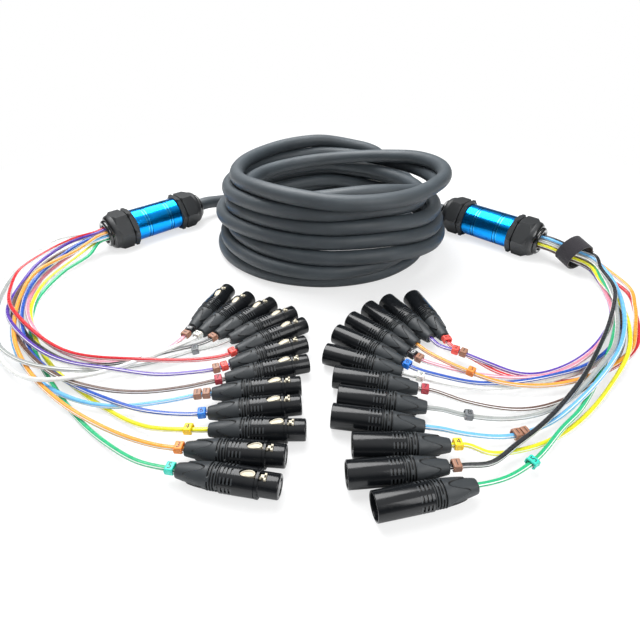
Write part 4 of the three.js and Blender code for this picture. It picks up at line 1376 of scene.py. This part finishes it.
class SNAKE_OT_fanouts(bpy.types.Operator):
    """Builds the anodised barrels with their glands, nuts and plugs"""
    bl_idname = "snake.fanouts"
    bl_label = "Fan-outs"

    def execute(self, context):
        fanout = context.scene.snake_fanout
        tail = context.scene.snake_tail
        dome_start = fanout.flange_gap + fanout.flange_thickness + fanout.nut_gap + fanout.nut_hex_length
        anodised = anodised_finish(fanout)
        matt_length, polished_after = 0.0070, 0.0102
        nylon = gland_finish(tuple(fanout.nylon), dome_start + matt_length, dome_start + polished_after)
        rubber = moulded("seal_rubber", (0.030, 0.031, 0.033), 0.65,
                         grain_scale=1800.0, grain_height=0.00003).material
        barrel = self.barrel(fanout)
        body = self.gland_body(fanout)
        nut = self.dome_nut(fanout)
        for model, finish in ((barrel, anodised), (body, nylon), (nut, nylon)):
            keep_shape(model)
            dress(model, finish)
            smooth(model, 30.0)
        for side, word in SIDES:
            middle = Matrix.Translation(fanout_point(fanout, side, 0.0))
            middle = middle @ Matrix.Rotation(tail_heading(fanout, side), 4, "Z")
            copy_to(barrel, f"{word}_barrel", middle, "root", "anodised_barrel", f"{word}_fanout_barrel")
            for end, facing in (("tail", 1), ("trunk", -1)):
                place = middle @ Matrix.Rotation(0.0 if facing > 0 else math.pi, 4, "Z")
                place = place @ Matrix.Translation((fanout.barrel_length / 2, 0.0, 0.0))
                stem = f"{word}_{end}"
                copy_to(body, f"{stem}_gland", place, "root", "gland_nylon", f"{stem}_gland_body")
                copy_to(nut, f"{stem}_nut", place, "root", "gland_nylon", f"{stem}_gland_nut")
            plug = self.plug(fanout, tail, LEFT_SLOTS if side < 0 else RIGHT_SLOTS, side)
            dress(plug, rubber)
            plug_middle = fanout_reach(fanout) - fanout.plug_recess - fanout.plug_length / 2
            place = middle @ Matrix.Translation((plug_middle, 0.0, 0.0))
            copy_to(plug, f"{word}_tail_plug", place, "root", "seal_rubber", f"{word}_fan_tails")
            drop(plug)
            for node in ("trunk_gland_seal", "core_bundle"):
                dress(frame["nodes"][f"{word}_{node}"], rubber)
        drop(barrel, body, nut)
        return {"FINISHED"}

    def barrel(self, fanout):
        """A turned tube with two pairs of grooves."""
        half = fanout.barrel_length / 2
        outer, inner = fanout.barrel_radius, fanout.barrel_radius - fanout.barrel_wall
        chamfer = fanout.barrel_chamfer
        profile = [(-half, inner), (-half, outer - chamfer), (-half + chamfer, outer)]
        floor, slope = outer - fanout.groove_depth, fanout.groove_depth / 2
        half_width = fanout.groove_width / 2
        for pair in (-fanout.groove_place, fanout.groove_place):
            for centre in (pair - fanout.groove_pitch / 2, pair + fanout.groove_pitch / 2):
                profile += [(centre - half_width - slope, outer), (centre - half_width, floor),
                            (centre + half_width, floor), (centre + half_width + slope, outer)]
        profile += [(half - chamfer, outer), (half, outer - chamfer), (half, inner), (-half, inner)]
        return turned("barrel_model", profile, fanout.sides)

    def hexed(self, piece, fanout, start):
        """Draws the outside of a turned shape in to a hexagon with a flat underneath."""
        flat, sharpness = fanout.across_flats / 2, 260.0
        sixth = math.tau / 6

        def radius_at(x, angle, radius):
            fold = np.mod(angle + math.pi / 2 + sixth / 2, sixth) - sixth / 2
            drawn_in = flat * ((radius / flat) ** -sharpness + np.cos(fold) ** sharpness) ** (-1 / sharpness)
            return np.where(x > start, drawn_in, radius)

        set_radius(piece, radius_at)

    def gland_body(self, fanout):
        """The gland's flange with its threaded stubs and bore."""
        corner = fanout.across_flats / 2 / math.cos(math.pi / 6)
        start, end = fanout.flange_gap, fanout.flange_gap + fanout.flange_thickness
        chamfer = fanout.corner_chamfer
        thread = fanout.barrel_radius - fanout.barrel_wall - fanout.thread_clearance
        stub = fanout.across_flats / 2 - fanout.nut_wall - fanout.thread_clearance
        stub_end = end + fanout.nut_gap + fanout.nut_hex_length
        bore = fanout.bore_radius
        profile = [(-fanout.thread_length, bore), (-fanout.thread_length, thread), (start, thread),
                   (start, corner - 2 * chamfer), (start + chamfer, corner), (end - chamfer, corner),
                   (end, corner - 2 * chamfer), (end, stub), (stub_end, stub), (stub_end, bore),
                   (-fanout.thread_length, bore)]
        piece = turned("gland_model", profile, fanout.sides)
        self.hexed(piece, fanout, start - TINY)
        return piece

    def dome_nut(self, fanout):
        """The nut: a hexagon, a full dome, and a thick round ring about its mouth."""
        flat = fanout.across_flats / 2
        corner = flat / math.cos(math.pi / 6)
        start = fanout.flange_gap + fanout.flange_thickness + fanout.nut_gap
        hex_end = start + fanout.nut_hex_length
        end = hex_end + fanout.nut_dome_length
        chamfer = fanout.corner_chamfer
        thread = flat - fanout.nut_wall
        mouth = fanout.nut_mouth_radius
        profile = [(start, thread), (start, corner - 2 * chamfer), (start + chamfer, corner)]
        hex_steps, cut_steps, dome_steps, ring_steps = 4, 8, 14, 16
        cut = fanout.nut_corner_cut
        profile += [(start + chamfer + (hex_end - start - chamfer) * i / hex_steps, corner)
                    for i in range(1, hex_steps + 1)]
        profile += [(hex_end + cut * i / cut_steps, corner + (flat - corner) * i / cut_steps)
                    for i in range(1, cut_steps + 1)]
        ring = fanout.nut_ring_radius
        shoulder, shoulder_end = mouth + 2 * ring, end - ring * 1.35
        for step in range(1, dome_steps + 1):
            turn = step / dome_steps * math.pi / 2
            profile.append((hex_end + cut + (shoulder_end - hex_end - cut) * math.sin(turn),
                            shoulder + (flat - shoulder) * math.cos(turn)))
        profile += arc((end - ring, mouth + ring), ring, 160.0, -90.0, ring_steps)
        lip = fanout.nut_lip_length
        profile += [(end - lip, mouth),
                    (end - lip - (thread - mouth) / 2, thread), (start, thread)]
        piece = turned("nut_model", profile, fanout.sides)
        self.hexed(piece, fanout, start - TINY)
        return piece

    def plug(self, fanout, tail, slots, side):
        """The rubber plug with a hole for each tail."""
        half, radius = fanout.plug_length / 2, fanout.nut_mouth_radius - fanout.plug_gap
        chamfer = fanout.plug_gap
        profile = [(-half, 0.0), (-half, radius - chamfer), (-half + chamfer, radius),
                   (half - chamfer, radius), (half, radius - chamfer), (half, 0.0)]
        piece = turned("plug_model", profile, 48)
        hole_radius = tail.diameter / 2 + tail.hole_clearance
        holes = []
        for slot in slots:
            aside, above = hole_place(slot, tail)
            holes.append(drill((0.0, side * aside, above), hole_radius, fanout.plug_length * 2, 24))
        cut(piece, *holes)
        smooth(piece, 30.0)
        return piece


class SNAKE_OT_connectors(bpy.types.Operator):
    """Builds the female and male connectors and the push latches"""
    bl_idname = "snake.connectors"
    bl_label = "Connectors"

    def execute(self, context):
        connector = context.scene.snake_connector
        latch = context.scene.snake_latch
        rubber = boot_finish(tuple(connector.rubber))
        shell = shell_finish(tuple(connector.shell))
        metal = metal_finish("latch_metal", tuple(latch.metal), 0.5, 0.35)
        plating = metal_finish("contact_metal", (0.780, 0.700, 0.520), 0.22)
        models = {
            "boot": (self.boot(connector), rubber, "boot_rubber"),
            "female_shell": (self.female_shell(connector, latch), shell, "connector_shell"),
            "male_shell": (self.male_shell(connector), shell, "connector_shell"),
            "contacts": (self.contacts(connector), plating, "contact_metal"),
            "pins": (self.pins(connector), plating, "contact_metal"),
            "lever": (self.lever(connector, latch), metal, "latch_metal"),
        }
        for model, finish, _ in models.values():
            keep_shape(model)
            dress(model, finish)
            smooth(model, 32.0)
        for side, word in SIDES:
            kind, parts = CONNECTOR_PARTS[word]
            for i, (boot, heading, _) in enumerate(connector_places(connector, side)):
                channel = f"{i + 1:02d}"
                place = Matrix.Translation((*boot, connector.shell_diameter / 2))
                place = place @ Matrix.Rotation(heading, 4, "Z")
                for part in parts:
                    model, _, slot = models[f"{kind}_shell" if part == "shell" else part]
                    name, replaced = f"{kind}_{part}_{channel}", f"{kind}_connector_{channel}"
                    copy_to(model, name, place, "root", slot, replaced)
                if kind == "female":
                    model, _, slot = models["lever"]
                    name, replaced = f"latch_lever_{channel}", f"female_latch_{channel}"
                    copy_to(model, name, place, f"latch_{channel}", slot, replaced)
        drop(*[model for model, _, _ in models.values()])
        return {"FINISHED"}

    def boot(self, connector):
        """The rubber boot: a cone under four tongues, and a collar with four grooves."""
        tip, root = connector.tip_diameter / 2, connector.root_diameter / 2
        collar = connector.collar_diameter / 2
        bore, bore_depth, lip = 0.0021, 0.0045, 0.0005
        boot_end = connector.boot_length
        end = boot_end + connector.collar_length
        profile = [(bore_depth, 0.0), (bore_depth, bore), (lip, bore), (0.0, bore + lip)]
        profile += arc((2 * lip, tip - 2 * lip), 2 * lip, 180.0, 100.0, 4)
        cone_steps, collar_steps = 42, 40
        for step in range(1, cone_steps + 1):
            share = step / cone_steps
            x = 2 * lip + (boot_end - 2 * lip) * share
            profile.append((x, tip + (root - tip) * share ** 0.88))
        for step in range(1, collar_steps + 1):
            profile.append((boot_end + (end - boot_end) * step / collar_steps, collar))
        profile.append((end, 0.0))
        piece = turned("boot_model", profile, 88)
        edge_middle, edge_swing, edge_width = TONGUE_EDGE

        def radius_at(x, angle, radius):
            edge = edge_middle + edge_swing * np.cos(4 * angle)
            proud = connector.tongue_height * smoothstep(x, edge, edge + edge_width)
            settled = smoothstep(x, edge + edge_width, boot_end + TINY)
            cone = radius + proud * (1 - 0.35 * settled)
            sunk = np.zeros_like(x)
            for centre, bridge in COLLAR_GROOVES:
                inside = 1 - smoothstep(np.abs(x - centre), GROOVE_HALF, GROOVE_HALF + GROOVE_EDGE)
                fold = np.abs(np.mod(angle - bridge + math.pi / 2, math.pi) - math.pi / 2)
                sunk = np.maximum(sunk, inside * smoothstep(fold, BRIDGE_HALF, BRIDGE_HALF + 0.05))
            outer = radius > tip - 3 * lip
            shaped = np.where(x < boot_end + TINY, cone, radius - connector.groove_depth * sunk)
            return np.where(outer & (x > 2 * lip), shaped, radius)

        set_radius(piece, radius_at)
        return piece

    def slotted(self, piece, connector):
        """Pushes in three rows of short slots round the shell."""
        pitch_deg, slot_deg = 40.0, 25.0
        start_edit(piece, "FACE")

        def in_slot(middle, normal):
            turn = math.degrees(math.atan2(middle.z, middle.y)) % pitch_deg
            row = any(start < middle.x < end for start, end in SLOT_ROWS)
            outside = math.hypot(middle.y, middle.z) > connector.mouth_diameter / 2
            return row and turn < slot_deg and outside

        select_faces(piece, in_slot)
        bpy.ops.mesh.extrude_region_move(TRANSFORM_OT_translate={"value": (0.0, 0.0, 0.0)})
        radius = connector.shell_diameter / 2
        share = (radius - connector.slot_depth) / radius
        bpy.ops.transform.resize(value=(1.0, share, share), center_override=(0.0, 0.0, 0.0))
        end_edit()

    def rear_profile(self, connector):
        """The rear of a shell, up to and past its rows of slots."""
        start = connector.boot_length + connector.collar_length
        radius = connector.shell_diameter / 2
        edge = 0.0004
        profile = [(start + edge / 2, 0.0), (start + edge / 2, radius - edge), (start + edge * 1.5, radius)]
        for low, high in SLOT_ROWS:
            profile += [(low, radius), (high, radius)]
        return profile

    def ring_ends(self, connector):
        """Where the clamp ring starts and ends."""
        end = connector.female_length - connector.nose_length
        return end - connector.ring_length, end

    def female_shell(self, connector, latch):
        """The female shell: slots, ring, nose with its face and contact holes, and the latch's channel."""
        radius, nose = connector.shell_diameter / 2, connector.nose_diameter / 2
        end = connector.female_length
        ring_start, ring_end = self.ring_ends(connector)
        lip, step = 0.0002, 0.0004
        profile = self.rear_profile(connector)
        profile += [(ring_start - step, radius), (ring_start - lip, radius - step),
                    (ring_start, radius - step), (ring_start + lip, radius + lip),
                    (ring_end - lip, radius + lip), (ring_end, radius - lip),
                    (ring_end, nose + lip), (ring_end + lip, nose)]
        rim = 0.0012
        profile += arc((end - rim, nose - rim), rim, 90.0, 0.0, 6)
        profile += [(end, nose - 2 * rim), (end - step, nose - 2 * rim - lip), (end - step, 0.0)]
        piece = turned("female_shell_model", profile, 72)
        self.slotted(piece, connector)
        floor = latch.strip_top - latch.strip_thickness - latch.travel_room
        half = latch.width / 2 + latch.gap
        rear = ring_start - latch.pad_ring_gap - latch.pad_length - latch.tail_length - latch.gap
        top = radius + latch.gap
        tooth_end = ring_end + latch.tooth_ring_gap + latch.tooth_length + latch.gap
        outline = [(rear + half * 1.6 * (1 - math.cos(a)), half * math.sin(a), floor)
                   for a in np.linspace(-math.pi / 2, math.pi / 2, 17)]
        outline = [(ring_start, -half, floor), *outline, (ring_start, half, floor)]
        well = prism("well", outline, (0.0, 0.0, top - floor))
        bridge = block("bridge", (ring_start - step, -half, floor),
                       (ring_end + step, half, latch.strip_top + latch.gap))
        front = block("front", (ring_end, -half, floor), (tooth_end, half, top))
        hole_radius = connector.pin_diameter / 2 + lip
        holes = [drill((end, y, z), hole_radius, connector.nose_length, 20)
                 for y, z in self.pin_places(connector)]
        cut(piece, well, bridge, front, *holes)
        return piece

    def male_shell(self, connector):
        """The male shell: slots, a long smooth sleeve and an open mouth with the insert's face."""
        radius, mouth = connector.shell_diameter / 2, connector.mouth_diameter / 2
        end = connector.male_length
        floor = end - connector.mouth_depth
        rim = (radius - mouth) / 2
        profile = self.rear_profile(connector)
        profile += arc((end - rim, mouth + rim), rim, 90.0, -90.0, 8)
        profile += [(floor + rim, mouth), (floor, mouth - rim), (floor, mouth - 2 * rim),
                    (floor + rim, mouth - 2.4 * rim), (floor + rim, 0.0)]
        piece = turned("male_shell_model", profile, 72)
        self.slotted(piece, connector)
        key_half, key_depth, key_length = 0.0016, 0.0005, 0.009
        notch = block("notch", (end - key_length, -key_half, mouth - key_depth),
                      (end + key_length, key_half, mouth + key_depth))
        cut(piece, notch)
        return piece

    def pin_places(self, connector):
        """Places of the three pins across the axis."""
        turns = [math.radians(angle) for angle in (-90, 30, 150)]
        circle = connector.pin_circle
        return [(circle * math.cos(turn), circle * math.sin(turn)) for turn in turns]

    def pins(self, connector):
        """Three round ended pins."""
        radius = connector.pin_diameter / 2
        end = connector.male_length - connector.pin_recess
        start = connector.male_length - connector.mouth_depth - radius
        profile = [(start, 0.0), (start, radius), (end - radius, radius)]
        profile += arc((end - radius, 0.0), radius, 80.0, 0.0, 5)
        return self.three("pins_model", profile, connector)

    def contacts(self, connector):
        """Three contact sleeves that lie just inside the female's face."""
        radius = connector.pin_diameter / 2
        recess, wall = 0.0012, 0.00035
        end = connector.female_length - recess
        start = end - connector.nose_length / 3
        profile = [(start, 0.0), (start, radius), (end, radius), (end, radius - wall),
                   (start + wall, radius - wall), (start + wall, 0.0)]
        return self.three("contacts_model", profile, connector)

    def three(self, name, profile, connector):
        """One turned piece at each of the three pin places."""
        pieces = []
        for y, z in self.pin_places(connector):
            piece = turned(name, profile, 20)
            piece.data.transform(Matrix.Translation((0.0, y, z)))
            pieces.append(piece)
        return joined(name, *pieces)

    def lever(self, connector, latch):
        """The latch: a strip with a dished oval pad behind the ring and a tooth in front of it."""
        radius, nose = connector.shell_diameter / 2, connector.nose_diameter / 2
        ring_start, ring_end = self.ring_ends(connector)
        pad_end = ring_start - latch.pad_ring_gap
        rear = pad_end - latch.pad_length - latch.tail_length
        tooth_start = ring_end + latch.tooth_ring_gap
        tooth_end = tooth_start + latch.tooth_length
        strip_bottom = latch.strip_top - latch.strip_thickness
        half = latch.width / 2
        edge, pad_rounding, strip_rounding, stem_rounding = 0.00025, 0.00012, 0.0001, 0.0002
        pad_rim, dish_slope, dish_depth, tail_drop = 0.0005, 0.0004, 0.0005, 0.0016
        narrow = half * 0.45
        long_half, leaf_half = (pad_end - rear) / 2, half * 0.9
        outline = []
        for a in np.linspace(-math.pi, math.pi, 40, endpoint=False):
            power = 0.8 if abs(a) < math.pi / 2 else 1.25
            x = (pad_end + rear) / 2 + long_half * bulged(math.cos(a), min(power, 1.0))
            outline.append((x, leaf_half * bulged(math.sin(a), power), strip_bottom))
        pad = prism("pad", outline, (0.0, 0.0, radius + latch.pad_proud - strip_bottom))
        start_edit(pad, "FACE")
        select_faces(pad, lambda middle, normal: normal.z > 0.9)
        bpy.ops.mesh.inset(thickness=pad_rim)
        bpy.ops.mesh.inset(thickness=dish_slope, depth=-dish_depth)
        end_edit()
        places = corners_of(pad)
        rise = smoothstep(places[:, 0], rear, pad_end - latch.pad_length * 0.35)
        top = places[:, 2] > latch.strip_top
        places[:, 2] = np.where(top, places[:, 2] - (1 - rise) * tail_drop, places[:, 2])
        set_corners(pad, places)
        rounded(pad, pad_rounding, 2, 40.0)
        tooth_top = nose + latch.tooth_proud
        strip = block("strip", (pad_end - edge, -narrow, strip_bottom),
                      (tooth_end, narrow, latch.strip_top), strip_rounding)
        stem = block("stem", (tooth_start, -narrow, strip_bottom),
                     (tooth_end, narrow, tooth_top), stem_rounding)
        bar = block("bar", (tooth_end - latch.tooth_length * 0.45, -half, strip_bottom),
                    (tooth_end, half, tooth_top), edge)
        return joined("lever_model", pad, strip, stem, bar)


class SNAKE_OT_clips(bpy.types.Operator):
    """Puts the number clips on the tails"""
    bl_idname = "snake.clips"
    bl_label = "Number clips"

    def execute(self, context):
        clip = context.scene.snake_clip
        tail = context.scene.snake_tail
        model = self.clip(clip, tail)
        smooth(model, 32.0)
        inks = (("dark", (0.015, 0.015, 0.018)), ("pale", (0.650, 0.650, 0.650)))
        dark, pale = [moulded(f"digit_ink_{tone}", colour, 0.5, grain_scale=900.0, grain_height=0.00001,
                              variation=0.1).material for tone, colour in inks]
        finishes = {digit: self.plastic(digit, colour) for digit, colour in CLIP_COLOURS.items()}
        for word, numbers, distances in (("left", LEFT_NUMBERS, LEFT_CLIP_DISTANCES),
                                         ("right", RIGHT_NUMBERS, RIGHT_CLIP_DISTANCES)):
            for channel in range(1, CHANNELS + 1):
                digits = [int(digit) for digit in reversed(str(numbers[channel - 1]))]
                for i, digit in enumerate(digits):
                    distance = distances[channel - 1] + i * clip.pitch
                    distance = distance + tail.boot_gap + tail.boot_entry
                    place = self.place_on(tail_lines[word, channel], distance)
                    name = f"{word}_clip_{channel:02d}_{i + 1}"
                    piece = copy_to(model, name, place, "root", "number_clip")
                    dress(piece, finishes[digit])
                    name = f"{word}_digit_{channel:02d}_{i + 1}"
                    mark = self.digit(str(digit), name, clip, place, word)
                    dress(mark, dark if digit else pale)
        drop(model)
        return {"FINISHED"}

    def plastic(self, digit, colour):
        """Semi-gloss plastic in a clip's colour."""
        finish = moulded(f"clip_plastic_{digit}", colour, 0.38, grain_scale=1200.0, grain_height=0.00003,
                         variation=0.08)
        finish.wear({"Subsurface Weight": 0.08, "Subsurface Scale": 0.002})
        return finish.material

    def clip(self, clip, tail):
        """A clip: a boxy ring open underneath, with a lip at each end and a panel for its digit."""
        half_length, half, top = clip.length / 2, clip.half_width, clip.top
        rounding, lip_rounding, lip_drop = 0.0009, 0.0003, 0.0012
        side_room, top_room = 0.0001, 0.0007
        body = block("clip_model", (-half_length, -half, -clip.bottom), (half_length, half, top), rounding)
        lips = []
        for sign in (-1, 1):
            outer = sign * half_length
            inner = outer - sign * clip.lip_length
            lips.append(block("lip", (min(outer, inner), -half - clip.lip_proud, -clip.bottom * 0.4),
                              (max(outer, inner), half + clip.lip_proud, top - lip_drop), lip_rounding))
        model = joined("clip_model", body, *lips)
        throat, gap_top = tail.diameter / 2 + side_room, tail.diameter / 2 + top_room
        gap = block("gap", (-clip.length, -throat, -clip.top), (clip.length, throat, gap_top))
        use_modifier(model, "REMESH", mode="SHARP", octree_depth=6, use_remove_disconnected=False)
        cut(model, gap)
        return model

    def place_on(self, line, distance):
        """The place on a tail at a distance from its boot, turned along the tail and upright."""
        back = line[::-1]
        gone = run_of(back)
        ahead, behind = 0.004, 0.003

        def spot_at(reach):
            return np.array([np.interp(reach, gone, back[:, k]) for k in range(3)])

        along = Vector(spot_at(distance + ahead) - spot_at(distance - behind)).normalized()
        aside = UP.cross(along).normalized()
        above = along.cross(aside)
        turn = Matrix((along, aside, above)).transposed().to_4x4()
        return Matrix.Translation(spot_at(distance)) @ turn

    def digit(self, text, name, clip, place, word):
        """A printed digit on a clip's top."""
        deselect_all()
        bpy.ops.object.text_add()
        mark = bpy.context.object
        mark.data.body = text
        mark.data.size = clip.digit_height
        mark.data.align_x = "CENTER"
        mark.data.align_y = "CENTER"
        mark.data.extrude = INK_THICKNESS
        bpy.ops.object.convert(target="MESH")
        mark = bpy.context.object
        mark.name = name
        mark.data.name = name
        turn = Matrix.Rotation(math.pi if word == "left" else 0.0, 4, "Z")
        mark.data.transform(place @ Matrix.Translation((0.0, 0.0, clip.top)) @ turn)
        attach(mark, "root")
        return mark


class SNAKE_OT_tie(bpy.types.Operator):
    """Winds the hook and loop tie round the right hand tails"""
    bl_idname = "snake.tie"
    bl_label = "Tie"

    def execute(self, context):
        tie = context.scene.snake_tie
        fanout = context.scene.snake_fanout
        tail = context.scene.snake_tail
        thickness = tie.thickness
        strap = thickness * 0.85
        start_turn, end_turn = tie.flap_start_share, 1.0 + tie.flap_end_share
        lap_start, lap_end = 0.94, 1.06
        free_share, free_lift, edge_rounding = 0.06, 0.0006, 0.0003
        steps = 96
        places = []
        for step in range(steps + 1):
            share = start_turn + (end_turn - start_turn) * step / steps
            turn = share * math.tau
            lapped = smoothstep(share, lap_start, lap_end)
            lifted = smoothstep(share, end_turn - free_share, end_turn)
            radius = tie.inner_radius + strap / 2 + thickness * lapped + free_lift * lifted
            places.append((-tie.width / 2, radius * math.sin(turn), -radius * math.cos(turn)))
        piece = chain("tail_tie", places)
        start_edit(piece)
        bpy.ops.mesh.select_all(action="SELECT")
        width_steps = 10
        stride = {"value": (tie.width / width_steps, 0.0, 0.0)}
        for _ in range(width_steps):
            bpy.ops.mesh.extrude_edges_move(TRANSFORM_OT_translate=stride)
        end_edit()
        dress(piece, webbing_finish("tie_hooks", tuple(tie.hooks), loop_size=0.0009),
              webbing_finish("tie_pile", tuple(tie.pile), loop_size=0.0007))
        use_modifier(piece, "SOLIDIFY", thickness=strap, offset=0.0, material_offset=1)
        start_edit(piece)
        tidy_mesh()
        end_edit()
        rounded(piece, edge_rounding, 2, 50.0)
        smooth(piece, 40.0)
        gone = tie.distance + fanout.plug_recess + fanout.plug_length / 2
        high = bundle_height(gone - tie.width / 2, fanout, tail)
        low = bundle_height(gone + tie.width / 2, fanout, tail)
        middle = fanout_point(fanout, 1, fanout_reach(fanout) + tie.distance)
        place = Matrix.Translation((middle[0], middle[1], (high + low) / 2 + tie.lift))
        place = place @ Matrix.Rotation(tail_heading(fanout, 1) + tie.turn, 4, "Z")
        place = place @ Matrix.Rotation(math.atan2(high - low, tie.width), 4, "Y")
        piece.data.transform(place)
        state(piece, "root", "tie_webbing", "tie_strap")
        return {"FINISHED"}


class SNAKE_OT_declare(bpy.types.Operator):
    """Gathers the names of the pieces on each tail, and does nothing more with them."""
    bl_idname = "snake.declare"
    bl_label = "State the tails"

    def execute(self, context):
        scene = context.scene
        for (word, channel), line in tail_lines.items():
            kind, parts = CONNECTOR_PARTS[word]
            pieces = [f"{kind}_{part}_{channel:02d}" for part in parts]
            if kind == "female":
                pieces.append(f"latch_lever_{channel:02d}")
            for form in ("clip", "digit"):
                start = f"{word}_{form}_{channel:02d}_"
                pieces += [o.name for o in scene.objects if o.name.startswith(start)]
        return {"FINISHED"}


OPERATORS = (
    SNAKE_OT_studio,
    SNAKE_OT_cable,
    SNAKE_OT_tails,
    SNAKE_OT_fanouts,
    SNAKE_OT_connectors,
    SNAKE_OT_clips,
    SNAKE_OT_tie,
    SNAKE_OT_declare,
)


class SNAKE_PT_panel(bpy.types.Panel):
    """Lists the pieces of the snake and their sizes"""
    bl_idname = "SNAKE_PT_panel"
    bl_label = "Audio Snake"
    bl_space_type = "VIEW_3D"
    bl_region_type = "UI"
    bl_category = "Snake"

    def draw(self, context):
        for operator in OPERATORS:
            self.layout.operator(operator.bl_idname)
        for name, group in SETTINGS:
            box = self.layout.box()
            box.label(text=group.__doc__)
            for field in group.__annotations__:
                box.prop(getattr(context.scene, name), field)


def register():
    for name, group in SETTINGS:
        bpy.utils.register_class(group)
        setattr(bpy.types.Scene, name, PointerProperty(type=group))
    for operator in OPERATORS:
        bpy.utils.register_class(operator)
    bpy.utils.register_class(SNAKE_PT_panel)


def unregister():
    bpy.utils.unregister_class(SNAKE_PT_panel)
    for operator in reversed(OPERATORS):
        bpy.utils.unregister_class(operator)
    for name, group in reversed(SETTINGS):
        delattr(bpy.types.Scene, name)
        bpy.utils.unregister_class(group)


def main():
    register()
    bpy.ops.snake.studio()
    bpy.ops.snake.cable()
    bpy.ops.snake.tails()
    bpy.ops.snake.fanouts()
    bpy.ops.snake.connectors()
    bpy.ops.snake.clips()
    bpy.ops.snake.tie()
    bpy.ops.snake.declare()


if __name__ == "__main__":
    main()
